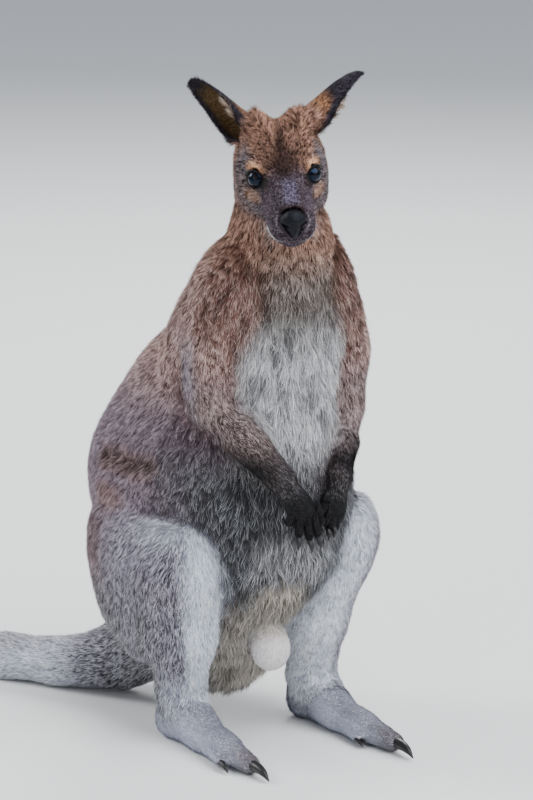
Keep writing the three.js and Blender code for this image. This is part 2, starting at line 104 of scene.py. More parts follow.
def egg(p, centre, radii, tip=0, turn=0):
    """How far outside a stretched ball: k (k - 1) / |q / r|, with k the length of the squeezed vector."""
    q = (p - np.array(centre, float)) @ turned(tip, 0, turn) / np.array(radii, float)
    k = np.linalg.norm(q, axis=-1)
    return k * (k - 1) / np.maximum(np.linalg.norm(q / np.array(radii, float), axis=-1), 1e-9)


def near(p, centre, radii, edge=0.5):
    """1 deep in a stretched ball and 0 well outside; edge is the share of its size that the fall takes."""
    reach = np.linalg.norm((p - np.array(centre, float)) / np.array(radii, float), axis=-1)
    return ease(1 + edge, 1 - edge, reach)


def melt(gaps, width):
    """The smallest gap, made smaller by (width - difference)^2 / (4 width) where two come close."""
    total = gaps[0]
    for gap in gaps[1:]:
        overlap = np.maximum(width - np.abs(total - gap), 0)
        total = np.minimum(total, gap) - overlap * overlap / (4 * width)
    return total


def chain(p, joints, radii, width):
    """Bones end to end, run together."""
    return melt([bone(p, *pair) for pair in zip(joints, joints[1:], radii, radii[1:])], width)


def path_gap(p, path):
    """Distance from points to a line that runs through a few points."""
    return np.min([bone(p, *span, 0, 0) for span in zip(path, path[1:])], axis=0)


def way_out(gap_of, centre, ray, farthest):
    """Where rays from a centre leave a shape: the stretch that holds its edge is halved 14 times."""
    inside, outside = np.zeros(ray.shape[:-1]), np.full(ray.shape[:-1], farthest)
    for _ in range(14):
        middle = (inside + outside) / 2
        within = gap_of(centre + ray * middle[..., None]) < 0
        inside, outside = np.where(within, middle, inside), np.where(within, outside, middle)
    return centre + ray * outside[..., None]


# %% Curves through points, and closed surfaces from grids
def round_of(turn, one, other):
    """Points of a unit circle: cos(turn) times one way plus sin(turn) times the other."""
    return np.cos(turn)[..., None] * one + np.sin(turn)[..., None] * other


def full_turn(count):
    return np.arange(count) / count * 2 * np.pi


def through(knots, values, at):
    """A smooth curve through values: cubic pieces whose slopes at the knots are np.gradient's."""
    knots, values = np.asarray(knots, float), np.asarray(values, float)
    slopes = np.gradient(values, knots, axis=0)
    i = np.clip(np.searchsorted(knots, at, side="right") - 1, 0, len(knots) - 2)
    step = knots[i + 1] - knots[i]
    t = (at - knots[i]) / step
    if values.ndim > 1:
        t, step = t[:, None], step[:, None]
    ends = values[i] * (1 + 2 * t) * (1 - t) ** 2 + values[i + 1] * t * t * (3 - 2 * t)
    return ends + step * (slopes[i] * t * (1 - t) ** 2 + slopes[i + 1] * t * t * (t - 1))


def rings_mesh(rings):
    """Points and faces of a closed surface: rings of points in a row, with a pole at either end."""
    rows, around = rings.shape[:2]
    spot = np.arange(rows * around).reshape(rows, around)
    next_spot = np.roll(spot, -1, 1)
    quads = np.stack([spot[:-1], next_spot[:-1], next_spot[1:], spot[1:]], -1).reshape(-1, 4)
    poles = np.array([rings[0].mean(0), rings[-1].mean(0)])
    first = np.stack([np.full(around, rows * around), next_spot[0], spot[0]], 1)
    last = np.stack([np.full(around, rows * around + 1), spot[-1], next_spot[-1]], 1)
    points = np.concatenate([rings.reshape(-1, 3), poles])
    faces = quads.tolist() + first.tolist() + last.tolist()
    return points, faces if volume(points, faces) > 0 else [face[::-1] for face in faces]


def volume(points, faces):
    """Six times the volume: the sum of p0 . (p1 x p2) over the triangles of each face's fan."""
    total = 0.0
    for corners in (3, 4):
        some = np.array([face for face in faces if len(face) == corners])
        for k in range(corners - 2) if len(some) else ():
            a, b, c = points[some[:, 0]], points[some[:, k + 1]], points[some[:, k + 2]]
            total += np.sum(a * np.cross(b, c))
    return total


def tube(path, radii, over, sides, steps, flat=1.0, blunt=0.25):
    """A bar along a smooth path, flat times as thick across; it rises like a quarter circle at its ends."""
    path = np.array(path, float)
    knots = np.concatenate([[0], np.cumsum(np.linalg.norm(np.diff(path, axis=0), axis=1))])
    share = (1 - np.cos(np.linspace(0, np.pi, steps))) / 2
    spot = share * knots[-1]
    centre = through(knots, path, spot)
    along = unit(np.gradient(centre, axis=0))
    radius = np.interp(spot, np.linspace(0, knots[-1], len(radii)), radii)
    near_end = np.minimum(spot, knots[-1] - spot) / np.maximum(radius * blunt, 1e-6)
    radius = radius * np.sqrt(np.clip(1 - (1 - np.clip(near_end, 0, 1)) ** 2, 0.02, 1))
    across = unit(np.array(over, float) - along * (along @ np.array(over, float))[:, None])
    third = np.cross(along, across)
    ring = round_of(full_turn(sides), across[:, None] * flat, third[:, None])
    return rings_mesh(centre[:, None] + ring * radius[:, None, None])


def together(meshes):
    """Several (points, faces) made into one."""
    points, faces, start = [], [], 0
    for some, corners in meshes:
        points.append(some)
        faces += [[index + start for index in face] for face in corners]
        start += len(some)
    return np.concatenate(points), faces


# %% [markdown]
# ## The plan of the body
# The same bones and eggs that shape the solids tell which part of the body a point belongs to. From that
# follow the length of the coat, the way it lies and its markings.

# %% The head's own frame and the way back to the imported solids
HEAD_AT = np.array([-17.5, -104.0, 607.0])
HEAD_TURN = turned(18.5, -4, -24)
EYE = {"out": 27.0, "front": -14.0, "up": 15.0, "radius": 10.6}
GAZE = np.array([0.74, -0.64, 0.18])
SIDES = {"right": -1, "left": 1}


def from_head(p):
    return np.asarray(p, float) @ HEAD_TURN.T + HEAD_AT


def in_head(p):
    return (p - HEAD_AT) @ HEAD_TURN


def folded(p):
    """Head points with both sides of the face laid onto the left one."""
    return np.abs(p * [1, 0, 0]) + p * [0, 1, 1]


def eye_centre(side):
    return from_head([EYE["out"] * side, EYE["front"], EYE["up"]])


eye_low, eye_high = (np.array(corner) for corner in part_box("eye_right"))
STANCE = (eye_low + eye_high) / 2 / MM - eye_centre(-1)


def world(p):
    """From millimetres in the animal's frame to metres in the frame of the solids."""
    return (np.asarray(p, float) + STANCE) * MM


def own(p):
    return np.asarray(p, float) / MM - STANCE


print("the animal's frame sits at", np.round(STANCE, 2), "mm")

# %% Where each part of the body lies
TORSO_EGGS = [
    ((0, 78, 158), (90, 100, 106), -12),
    ((-4, 58, 96), (58, 66, 62), 0),
    ((0, 65, 264), (131, 163, 130), 0),
    ((0, -12, 250), (96, 92, 128), 0),
    ((0, 36, 354), (96, 119, 99), 0),
    ((0, -40, 388), (74, 72, 100), 0),
    ((0, -47, 458), (72, 69, 74), 8),
]
TAIL_PATH = [(0, 98, 116), (-14, 154, 76), (-42, 200, 42), (-78, 245, 28), (-122, 320, 24)]
TAIL_PATH += [(-163, 400, 21.5), (-190, 485, 19.5), (-204, 575, 17)]
TAIL_PATH += [(-208, 665, 14), (-205, 745, 11), (-199, 795, 8)]
TAIL_RADII = [62, 50, 38, 29, 25.5, 23, 20.5, 18, 15, 11.5, 7.5]
KNEE = {"right": (-97, -36, 205), "left": (88, -36, 220)}
SHIN = {"right": (-89, -23, 118), "left": (70, -21, 118)}
ELBOW = {"right": (-82, -68, 377), "left": (77, -74, 358)}
WRIST = {"right": (-35, -137, 300), "left": (41, -121, 289)}
KNUCKLES = {"right": (-19, -147, 268), "left": (33, -122, 261)}
HIP, ANKLE, SHOULDER_JOINT, HEEL = (
    {name: (x * side, y, z) for name, side in SIDES.items()}
    for x, y, z in ((62, 88, 205), (80, -1, 44), (66, -48, 464), (81, 13, 18))
)


def body_gaps(p):
    """Each part's name with the gap from every point to it."""
    shoulders = [bone(p, (37 * side, -60, 516), (65 * side, -50, 470), 41, 39) for side in SIDES.values()]
    shoulders += [bone(p, (58 * side, -30, 452), (70 * side, -2, 420), 24, 27) for side in SIDES.values()]
    gaps = {
        "torso": melt([egg(p, *spec) for spec in TORSO_EGGS] + shoulders, 46),
        "neck": chain(p, [(0, -57, 486), (-2, -74, 545), (-12, -78, 592)], [58, 50, 42], 20),
        "tail": chain(p, TAIL_PATH, TAIL_RADII, 14),
        "scrotum": egg(p, (0, -50, 100), (23, 22, 26), 10),
        "head": egg(in_head(p), (0, 22, 8), (48, 50, 46)),
    }
    muzzle = bone(in_head(p), (0, -14, 0), (0, -74, -10), 34, 20)
    ear_mounds = [egg(in_head(p), (22 * side, 32, 54), (14, 16, 18)) for side in SIDES.values()]
    gaps["head"] = melt([gaps["head"], muzzle, *ear_mounds], 14)
    for name, side in SIDES.items():
        rump = egg(p, (73 * side, 63, 194), (63, 111, 84), -10, 6 * side)
        buttock = egg(p, (79 * side, 62, 138), (48, 80, 66), -14)
        gaps[f"thigh_{name}"] = melt([rump, buttock, bone(p, HIP[name], KNEE[name], 64, 45)], 34)
        lower_leg = chain(p, [np.add(KNEE[name], (0, 8, -12)), SHIN[name], ANKLE[name]], [33, 34, 23], 18)
        calf = (np.add(KNEE[name], (-5 * side, 6, -34)), np.add(SHIN[name], (4 * side, 2, 12)))
        gaps[f"shank_{name}"] = melt([lower_leg, bone(p, *calf, 40, 33)], 18)
        sole = [HEEL[name], (84 * side, -96, 15), (87 * side, -164, 11)]
        gaps[f"foot_{name}"] = chain(p, sole, [20, 20, 16], 8)
        gaps[f"upper_arm_{name}"] = bone(p, SHOULDER_JOINT[name], ELBOW[name], 40, 26)
        gaps[f"forearm_{name}"] = bone(p, ELBOW[name], WRIST[name], 22, 16)
        gaps[f"hand_{name}"] = bone(p, WRIST[name], KNUCKLES[name], 15, 24)
    return gaps


def body_shares(p, softness=5.0):
    """How much each part counts at a point: exp(-gap / softness), divided by their sum."""
    names, gaps = zip(*body_gaps(p).items())
    pull = np.exp(-(np.array(gaps) - np.min(gaps, axis=0)) / softness)
    return names, (pull / pull.sum(0)).T


# %% [markdown]
# ## One skin
# The flesh of the solids is in many nodes. Copies of them are joined and remeshed with small voxels into a
# single surface, so that no seam shows, and the flats of the solids are smoothed away by moving each point
# towards the middle of its neighbours. Where fine forms need it, on the head, hands and feet, the faces
# are divided once more. Then every point sinks by the depth of the coat that will grow over it.

# %% Joining the flesh
FLESH = ["torso", "neck", "head", "scrotum", "tail_base", "tail_middle", "tail_tip"]
FLESH += [f"{part}_{name}" for part in ("thigh", "shank", "foot", "upper_arm", "forearm") for name in SIDES]
VOXEL = 0.0033
PALM = {"right": (17.5, 10.5, 20), "left": (16, 10.5, 20)}
WRIST_GIRTH = {"right": 14.5, "left": 11.5}


def palm(name):
    """The hand without its fingers: from one centre, rays go out to where wrist and palm end."""
    wrist, knuckles = np.array(WRIST[name], float), np.array(KNUCKLES[name], float)
    around, rows = np.meshgrid(full_turn(20), np.linspace(0.05, 0.95, 12) * np.pi)
    ray = np.stack([np.sin(rows) * np.cos(around), np.sin(rows) * np.sin(around), -np.cos(rows)], -1)
    girth = WRIST_GIRTH[name]

    def gap_of(p):
        middle = (wrist + knuckles) / 2
        return melt([bone(p, wrist, middle, girth + 1, girth), egg(p, knuckles, PALM[name])], 10)

    return rings_mesh(way_out(gap_of, wrist * 0.4 + knuckles * 0.6, ray, 60.0))


def flesh_mesh():
    bm = bmesh.new()
    for name in FLESH:
        bm.from_mesh(frame["nodes"][name].data)
    for name in SIDES:
        points, faces = palm(name)
        corners = [bm.verts.new(point) for point in world(points)]
        for face in faces:
            bm.faces.new([corners[index] for index in face])
    bmesh.ops.remove_doubles(bm, verts=bm.verts, dist=1e-6)
    mesh = bpy.data.meshes.new("flesh")
    bm.to_mesh(mesh)
    bm.free()
    return mesh


def linked(name, data):
    """A new object of the scene, at the origin."""
    made = bpy.data.objects.new(name, data)
    bpy.context.scene.collection.objects.link(made)
    return made


def remeshed(mesh, voxel):
    holder = linked("holder", mesh)
    remesh = holder.modifiers.new("Remesh", "REMESH")
    remesh.mode = "VOXEL"
    remesh.voxel_size = voxel
    made = bpy.data.meshes.new_from_object(holder.evaluated_get(bpy.context.evaluated_depsgraph_get()))
    bpy.data.objects.remove(holder)
    return made


def rows_of(items, key, wide=3, kind=np.float32):
    """One property of all the items of a mesh, as rows of numbers."""
    found = np.empty(len(items) * wide, kind)
    items.foreach_get(key, found)
    return found.reshape(-1, wide)


def points_of(mesh):
    return rows_of(mesh.vertices, "co").astype(float)


def normals_of(mesh):
    return rows_of(mesh.vertex_normals, "vector").astype(float)


def edges_of(mesh):
    return rows_of(mesh.edges, "vertices", 2, np.int32)


def neighbour_mean(values, edges):
    """The mean of each point's neighbours along the edges."""
    one, other = edges.T
    count = np.bincount(np.concatenate([one, other]), minlength=len(values))
    total = [
        np.bincount(one, column[other], len(values)) + np.bincount(other, column[one], len(values))
        for column in values.T
    ]
    return np.array(total).T / np.maximum(count, 1)[:, None]


def smoothed(values, edges, strength, rounds, keeps_size=False):
    """Values drawn towards their neighbours' mean; every second round pushes back where size is kept."""
    for turn in range(rounds):
        push = -1.04 if keeps_size and turn % 2 else 1.0
        values = values + strength * push * (neighbour_mean(values, edges) - values)
    return values


def main_island(edges, count):
    """Points that are joined to the biggest island: labels run along the edges until nothing changes."""
    label = np.arange(count)
    one, other = edges.T
    while True:
        low = np.minimum(label[one], label[other])
        new = label.copy()
        np.minimum.at(new, one, low)
        np.minimum.at(new, other, low)
        new = new[new]
        if (new == label).all():
            break
        label = new
    return label == np.bincount(label).argmax()


raw = remeshed(flesh_mesh(), VOXEL)
bm = bmesh.new()
bm.from_mesh(raw)
bm.verts.ensure_lookup_table()
keep = main_island(edges_of(raw), len(raw.vertices))
bmesh.ops.delete(bm, geom=[v for v, kept in zip(bm.verts, keep) if not kept], context="VERTS")
bm.verts.ensure_lookup_table()
place = own(np.array([v.co[:] for v in bm.verts]))
names, shares = body_shares(place)
fine_parts = [i for i, name in enumerate(names) if name.startswith(("head", "hand", "foot"))]
fine = shares[:, fine_parts].sum(1) > 0.5
chosen = [e for e in bm.edges if fine[e.verts[0].index] and fine[e.verts[1].index]]
bmesh.ops.subdivide_edges(bm, edges=chosen, cuts=1, use_grid_fill=True)
bmesh.ops.triangulate(bm, faces=[f for f in bm.faces if len(f.verts) > 4])
skin_mesh = bpy.data.meshes.new("skin")
bm.to_mesh(skin_mesh)
bm.free()
print("skin:", len(skin_mesh.vertices), "points")

# %% Smoothing away the flats
SMOOTHING = {"torso": 1.0, "thigh": 1.0, "neck": 1.0, "tail": 0.9, "upper_arm": 0.9, "shank": 0.9}
SMOOTHING |= {"forearm": 0.7, "head": 0.6, "foot": 0.4, "hand": 0.3, "scrotum": 0.6}
LENGTH = {"torso": 11, "thigh": 9.5, "neck": 9.5, "tail": 8, "upper_arm": 9, "shank": 8}
LENGTH |= {"forearm": 6.5, "head": 6.5, "foot": 4.5, "hand": 3.6, "scrotum": 4}
SMOOTH_ROUNDS = 60
LEG_MELT, DEEPEST_FILL = 40, 9


def part_kind(name):
    return name.removesuffix("_right").removesuffix("_left")


def by_part(table, names, shares):
    """A value of each kind of part, mixed by how much the parts count at each point."""
    return shares @ np.array([table[part_kind(name)] for name in names], float)


def set_points(mesh, place):
    mesh.vertices.foreach_set("co", world(place).astype(np.float32).ravel())
    mesh.update()


edges = edges_of(skin_mesh)
place = own(points_of(skin_mesh))
names, shares = body_shares(place)
strength = 0.6 * by_part(SMOOTHING, names, shares)[:, None]
place = smoothed(place, edges, strength, SMOOTH_ROUNDS, keeps_size=True)
set_points(skin_mesh, place)

# %% Filling the groove between thigh and shank
gaps = body_gaps(place)
fill = np.zeros(len(place))
for name in SIDES:
    thigh, shank = gaps[f"thigh_{name}"], gaps[f"shank_{name}"]
    hollow = np.clip(-melt([thigh, shank], LEG_MELT), 0, DEEPEST_FILL)
    both_near = ease(26, 10, np.abs(thigh - shank)) * ease(14, 4, np.minimum(thigh, shank))
    fill = np.maximum(fill, hollow * both_near)
fill = smoothed(fill[:, None], edges, 0.5, 8)
place = place + normals_of(skin_mesh) * fill
place = smoothed(place, edges, 0.6 * ease(0.5, 3, fill), 24)
set_points(skin_mesh, place)
print("filled the leg by up to", fill.max().round(1), "mm")

# %% [markdown]
# ## The face
# The lids close round the eyeball to an almond opening, and the skin is drawn onto the ball around it. The
# line of the mouth is a shallow groove that runs from under the nose back to the corner of the lips.

# %% Landmarks of the face
LID_WIDE, LID_TALL, LID_LOW = 66, 50, 46  # degrees seen from the middle of the ball
MOUTH_LINE = [(0, -90, -27), (12, -82, -28), (22, -62, -25), (31, -42, -16)]


def eye_axes(side):
    """The way the eye looks, the way to its outer corner and its own up."""
    gaze = unit(GAZE * [side, 1, 1]) @ HEAD_TURN.T
    up = np.array([0.18 * side, 0.28, 1.0]) @ HEAD_TURN.T
    up = unit(up - gaze * (up @ gaze))
    return gaze, np.cross(up, gaze) * side, up


def lid_edge(angle):
    """How many degrees from the gaze the rim of the lids lies, on the way round at this angle."""
    across, up = np.cos(angle), np.sin(angle)
    tall = np.where(up > 0, LID_TALL, LID_LOW)
    return 1 / np.sqrt((across / LID_WIDE) ** 2 + (up / tall) ** 2)


def eye_angles(p, side):
    """For points: distance from the middle of the ball, degrees from the gaze, and the way round."""
    gaze, out, up = eye_axes(side)
    ray = p - eye_centre(side)
    reach = np.linalg.norm(ray, axis=-1)
    off = np.degrees(np.arccos(np.clip(ray @ gaze / np.maximum(reach, 1e-6), -1, 1)))
    return reach, off, np.arctan2(ray @ up, ray @ out)


EAR_MOUND = (22, 30, 58), (18, 20, 18)  # in the head's frame
CHEEK_RUFF = (42, 0, -14), (16, 24, 22)


# %% Sinking the skin under its coat
def coat_length(place, names, shares):
    """Length of the coat in millimetres: by part, then longer on the chest and short towards the nose."""
    length = by_part(LENGTH, names, shares)
    head = in_head(place)
    is_head, torso, neck = (shares[:, names.index(name)] for name in ("head", "torso", "neck"))
    front = ease(0.1, 0.7, -skin_normals[:, 1]) * (torso + neck)
    length += 10 * front * ease(560, 470, place[:, 2]) * ease(90, 50, np.abs(place[:, 0]))
    muzzle = ease(-8, -52, head[:, 1])
    face = 5.0 - 2.8 * muzzle + 2.5 * ease(-5, 30, head[:, 1])
    face += 4 * near(folded(head), *CHEEK_RUFF)
    face += 1.5 * near(folded(head), *EAR_MOUND)
    for side in (-1, 1):
        reach = eye_angles(place, side)[0]
        face = np.minimum(face, 2 + 5 * ease(12, 30, reach) + 9 * ease(30, 40, reach))
    return length * (1 - is_head) + face * is_head


CREASES = [("thigh_right", "torso", 7.0, 7.0), ("thigh_left", "torso", 6.0, 7.0)]
CREASES += [("upper_arm_right", "torso", 5.0, 8.0), ("upper_arm_left", "torso", 4.0, 8.0)]
CREASES += [("shank_right", "torso", 5.0, 7.0), ("shank_left", "torso", 5.0, 7.0)]
FLANK_FOLD = [(-124, 84, 301), (-124, 52, 304), (-122, 30, 301), (-117, 2, 304)]


def crease_depth(p):
    """How deep the skin sinks where a limb meets the body: depth exp(-(difference / width)^2)."""
    gaps = body_gaps(p)
    depth = np.zeros(len(p))
    for one, other, deep, wide in CREASES:
        fold = deep * np.exp(-(((gaps[one] - gaps[other]) / wide) ** 2)) * ease(22, 6, gaps[one])
        depth = np.maximum(depth, fold * ease(60, -10, p[:, 1]))
    return np.maximum(depth, 6 * np.exp(-((path_gap(p, FLANK_FOLD) / 4.5) ** 2)))


skin_normals = normals_of(skin_mesh)
place = place - skin_normals * crease_depth(place)[:, None]
length = coat_length(place, names, shares)
length = smoothed(length[:, None], edges, 0.5, 6)[:, 0]
COAT_RISE = 0.30  # the coat's depth as a share of its length, as it lies
place = place - skin_normals * (length * COAT_RISE)[:, None]
trunk_parts = [i for i, name in enumerate(names) if name.startswith(("torso", "neck", "thigh"))]
place = smoothed(place, edges, 0.5 * shares[:, trunk_parts].sum(1)[:, None], 6)

for side in (-1, 1):
    reach, off, around = eye_angles(place, side)
    past = off - lid_edge(around)
    ray = (place - eye_centre(side)) / reach[:, None]
    on_ball = EYE["radius"] + 0.9 + 0.028 * np.clip(past, 0, 60)
    pull = ease(26, 8, past) * ease(24, 17, reach) * (past > -14)
    wanted = np.where(past > -3, reach + (on_ball - reach) * pull, EYE["radius"] - 3.5)
    round_eye = (reach < 24) & (off < 115)
    place = np.where(round_eye[:, None], eye_centre(side) + ray * wanted[:, None], place)

head_points = in_head(place)
mouth = path_gap(folded(head_points), MOUTH_LINE)
set_points(skin_mesh, place)
skin_normals = normals_of(skin_mesh)
groove = 1.6 * np.exp(-((mouth / 1.9) ** 2)) * shares[:, names.index("head")]
place = place - skin_normals * groove[:, None]
set_points(skin_mesh, place)
skin_normals = normals_of(skin_mesh)
print("coat from", length.min().round(1), "to", length.max().round(1), "mm long")

# %% [markdown]
# ## Markings
# A name such as RUFOUS stands for three colours of the same hairs: the dark underfur at the root, the hair
# itself, and the pale band near the tip that makes the coat look grizzled. The markings are soft patches,
# each with a centre and an edge, painted one over the other onto the points of the skin. The skin wears the
# dark colour, and the tufts take all three.

# %% Colours of the hairs (linear)
# PALE, LILAC and BRIDGE also carry a painted bluish cast of sky light, in BRIDGE as a painted sheen on its
# short hair.
RUFOUS = [(0.010, 0.003, 0.002), (0.086, 0.031, 0.017), (0.580, 0.340, 0.250)]
CROWN = [(0.006, 0.002, 0.001), (0.038, 0.014, 0.009), (0.500, 0.275, 0.190)]
SHOULDER = [(0.030, 0.011, 0.008), (0.170, 0.084, 0.066), (0.700, 0.500, 0.455)]
FLANK = [(0.026, 0.017, 0.022), (0.125, 0.088, 0.108), (0.400, 0.325, 0.380)]
RUMP = [(0.034, 0.021, 0.024), (0.150, 0.095, 0.104), (0.370, 0.275, 0.290)]
PATCH = [(0.030, 0.028, 0.038), (0.180, 0.165, 0.205), (0.530, 0.510, 0.600)]
PALE = [(0.420, 0.460, 0.560), (0.740, 0.800, 0.900), (0.900, 0.930, 0.970)]
CREAM = [(0.070, 0.070, 0.075), (0.540, 0.540, 0.560), (0.950, 0.950, 0.970)]
CHEST = [(0.020, 0.014, 0.011), (0.078, 0.060, 0.049), (0.430, 0.390, 0.360)]
BELLY = [(0.012, 0.012, 0.014), (0.085, 0.085, 0.092), (0.440, 0.450, 0.470)]
BUFF = [(0.260, 0.210, 0.160), (0.660, 0.590, 0.490), (0.860, 0.810, 0.720)]
LILAC = [(0.280, 0.295, 0.370), (0.580, 0.610, 0.730), (0.840, 0.870, 0.940)]
FAWN = [(0.036, 0.022, 0.021), (0.160, 0.110, 0.106), (0.440, 0.350, 0.345)]
BLACK = [(0.002, 0.002, 0.002), (0.005, 0.005, 0.006), (0.026, 0.024, 0.030)]
SEAL = [(0.003, 0.001, 0.001), (0.012, 0.005, 0.004), (0.060, 0.032, 0.025)]
BRIDGE = [(0.022, 0.016, 0.028), (0.072, 0.058, 0.092), (0.200, 0.172, 0.255)]
CHEEK = [(0.007, 0.005, 0.006), (0.032, 0.024, 0.026), (0.220, 0.185, 0.195)]
MUZZLE = [(0.007, 0.004, 0.006), (0.032, 0.021, 0.027), (0.130, 0.098, 0.122)]
APRICOT = [(0.220, 0.090, 0.040), (0.560, 0.270, 0.140), (0.860, 0.520, 0.330)]
WHITE = [(0.450, 0.450, 0.470), (0.750, 0.750, 0.770), (0.900, 0.900, 0.920)]
ROSE = [(0.600, 0.560, 0.560), (0.860, 0.820, 0.820), (0.940, 0.920, 0.920)]
CINNAMON = [(0.030, 0.010, 0.004), (0.140, 0.055, 0.024), (0.400, 0.210, 0.110)]


def painted(colours, layers):
    """Markings laid one over the other: colours + share (look - colours) for each look with its share."""
    for look, share in layers:
        colours = colours + np.clip(share, 0, 1)[:, None, None] * (np.array(look) - colours)
    return colours


def all_over(look, count):
    return np.broadcast_to(np.array(look, float), (count, 3, 3)).copy()


def waves(p, size, seed, count=9):
    """A smooth number near -1 to 1: a mean of sine waves of about this size, in random directions."""
    draw = np.random.default_rng(seed)
    ways = unit(draw.normal(size=(count, 3))) * (2 * np.pi / (size * draw.uniform(0.6, 1.6, (count, 1))))
    return np.sin(p @ ways.T + draw.uniform(0, 2 * np.pi, count)).sum(1) / np.sqrt(count)


# %% Where the markings of the body lie
def body_markings(p, n, names, shares):
    """Root, hair and tip colours at each point of the body, as an array of points by three by RGB."""
    kinds = [part_kind(name) for name in names]
    torso, neck, scrotum, tail, thigh, shank, foot, arm, fore, hand = (
        shares[:, [i for i, kind in enumerate(kinds) if kind == wanted]].sum(1)
        for wanted in (
            "torso", "neck", "scrotum", "tail", "thigh", "shank", "foot", "upper_arm", "forearm", "hand"
        )
    )
    x, y, z = p.T
    wide = np.abs(x)
    from_middle = np.abs(x + 2)
    front = ease(-0.15, 0.55, -n[:, 1])
    inwards = -n[:, 0] * np.sign(x)
    bib_wide = 34 + 26 * ease(500, 420, z) - 8 * ease(330, 300, z)
    bib = front * ease(bib_wide + 14, bib_wide - 14, from_middle) * ease(535, 470, z)
    throat = front * ease(56, 24, from_middle) * ease(560, 500, z) * ease(0.3, 0.7, -n[:, 1])
    leg = thigh + shank
    inner = 0.62 * inwards - 0.78 * n[:, 1]
    behind = ease(0.42, -0.12, inner) * ease(-0.45, 0.15, n[:, 1]) * ease(200, 140, z)
    knee_top = ease(212, 244, z) * ease(30, -20, y) * ease(0.0, 0.5, n[:, 2])
    back_of_arm = ease(-0.45, 0.15, n[:, 1] - 0.2 * inwards) * ease(480, 430, z)
    fold = path_gap(p, FLANK_FOLD)
    return painted(all_over(FLANK, len(p)), [
        (RUMP, ease(250, 120, z) * ease(40, 130, y)),
        (SHOULDER, ease(330, 430, z)),
        (RUFOUS, ease(490, 560, z)),
        (RUFOUS, neck),
        (CHEST, throat * 0.75),
        (CHEST, bib),
        (CREAM, bib * ease(500, 415, z)),
        (BELLY, ease(50, -20, y) * ease(345, 300, z) * ease(128, 92, wide) * 0.75),
        (BELLY, front * ease(318, 285, z) * ease(112, 70, wide)),
        (CREAM, front * ease(250, 215, z) * ease(170, 200, z) * ease(60, 20, wide) * 0.75),
        (BUFF, ease(172, 130, z) * ease(60, -10, y) * torso * 0.75),
        (BUFF, torso * near(p, (-2, -88, 166), (32, 50, 16)) * 0.85),
        (RUMP, thigh * ease(20, 110, y)),
        (PATCH, thigh * ease(100, 20, y)),
        (PATCH, shank),
        (LILAC, leg * ease(0.0, 0.6, inwards)),
        (PALE, leg * ease(0.15, 0.68, inner)),
        (BELLY, leg * behind * 0.8),
        (PALE, leg * knee_top * 0.5),
        (LILAC, shank * ease(90, 55, z) * 0.6 * (1 - behind)),
        (LILAC, foot),
        (PATCH, foot * ease(0.2, 0.9, n[:, 2]) * 0.6),
        (FAWN, foot * ease(-110, -165, y) * 0.7),
        (ROSE, scrotum),
        (BUFF, scrotum * ease(104, 124, z) * 0.7),
        (CINNAMON, 0.3 * ease(22, 9, fold)),
        # Painted shade: dark hair along the flank fold, over the real crease in the skin.
        (SEAL, ease(12, 5, fold + 2 * waves(p, 14, 5)) * 0.7),
        (CINNAMON, 0.35 * near(p, (-130, 70, 262), (30, 32, 16))),
        (SHOULDER, arm),
        (FAWN, arm * ease(430, 385, z)),
        (PATCH, arm * back_of_arm * 0.7),
        (FAWN, fore),
        (BLACK, fore * ease(354, 312, z)),
        (BLACK, hand),
        (LILAC, tail),
        (PALE, tail * ease(200, 260, y) * 0.5),
        (PATCH, tail * ease(250, 200, y)),
        (BELLY, tail * ease(230, 180, y) * 0.8),
        (FAWN, tail * ease(0.25, 0.8, n[:, 2]) * ease(150, 330, y) * 0.5),
        (BLACK, tail * ease(560, 720, y) * 0.9),
    ])


# %% Where the markings of the head lie
JAW_LINE = [(0, -90, -25), (10, -84, -26), (19, -79, -23), (25, -68, -16), (27, -44, -18), (32, -26, -19)]


def head_markings(colours, p, n, is_head):
    """The same for the head, from points and normals in its own frame."""
    x, y, z = p.T
    wide = np.abs(x)
    up = ease(0.1, 0.7, n[:, 2])
    both = folded(p)
    brow = ease(60, 34, z) * ease(30, 4, y)
    stripe = ease(8, 1, np.abs(x + 1)) * ease(38, 8, y) * ease(-48, -36, y) * up
    jaw = ease(5.0, 1.0, path_gap(both, JAW_LINE)) * (0.15 + 0.6 * ease(12, 24, wide))
    pad_edge = np.abs(egg(p, (0, -82, 0), (15.5, 12, 13.5), -14) - 1.2)
    beside_pad = ease(0.9, 0.2, pad_edge) * ease(8, 12, wide) * ease(-14, -6, z) * ease(8, 2, z)
    layers = [
        (CROWN, 1),
        (CHEEK, brow * ease(26, 36, wide + 0.25 * np.clip(-y, 0, 40))),
        (SEAL, brow * ease(30, 16, wide) * 0.6),
        (CHEEK, ease(8, -8, z) * ease(30, -5, y)),
        (MUZZLE, ease(-20, -40, y)),
        (BRIDGE, ease(-26, -42, y) * ease(10, 3, wide) * up * 0.85),
        (SEAL, near(p, (0, -82, 10), (15, 9, 7)) * 0.9),
        (SEAL, near(p, (-1, -26, 32), (13, 20, 14)) * 0.9),
        (SEAL, stripe * 0.9),
        (APRICOT, near(both, (30, -14, 25.5), (9, 12, 5))),
        (APRICOT, near(both, (34, -24, 0), (10, 14, 6)) * 0.3),
        (SEAL, near(both, (20, -34, 16), (6, 8, 6)) * 0.7),
        (WHITE, jaw),
        # Painted shade under the front of the lower jaw.
        (MUZZLE, ease(-28, -33, z) * ease(-30, -60, y) * 0.8),
        (WHITE, beside_pad * 0.15),
    ]
    for side in (-1, 1):
        reach, off, around = eye_angles(from_head(p), side)
        layers.append((BLACK, ease(11, 5, off - lid_edge(around)) * ease(22, 16, reach)))
    return painted(colours, [(look, is_head * share) for look, share in layers])


colours = body_markings(place, skin_normals, names, shares)
is_head = shares[:, names.index("head")]
head_normals = skin_normals @ HEAD_TURN
colours = head_markings(colours, head_points, head_normals, is_head)
print("painted", len(colours), "points")

# %% [markdown]
# ## The way the coat lies
# Hair lies from the nose over the head, down the neck and the body, and along each limb towards its end. A
# wish is given for each part, mixed where parts meet, laid onto the skin and smoothed over it.

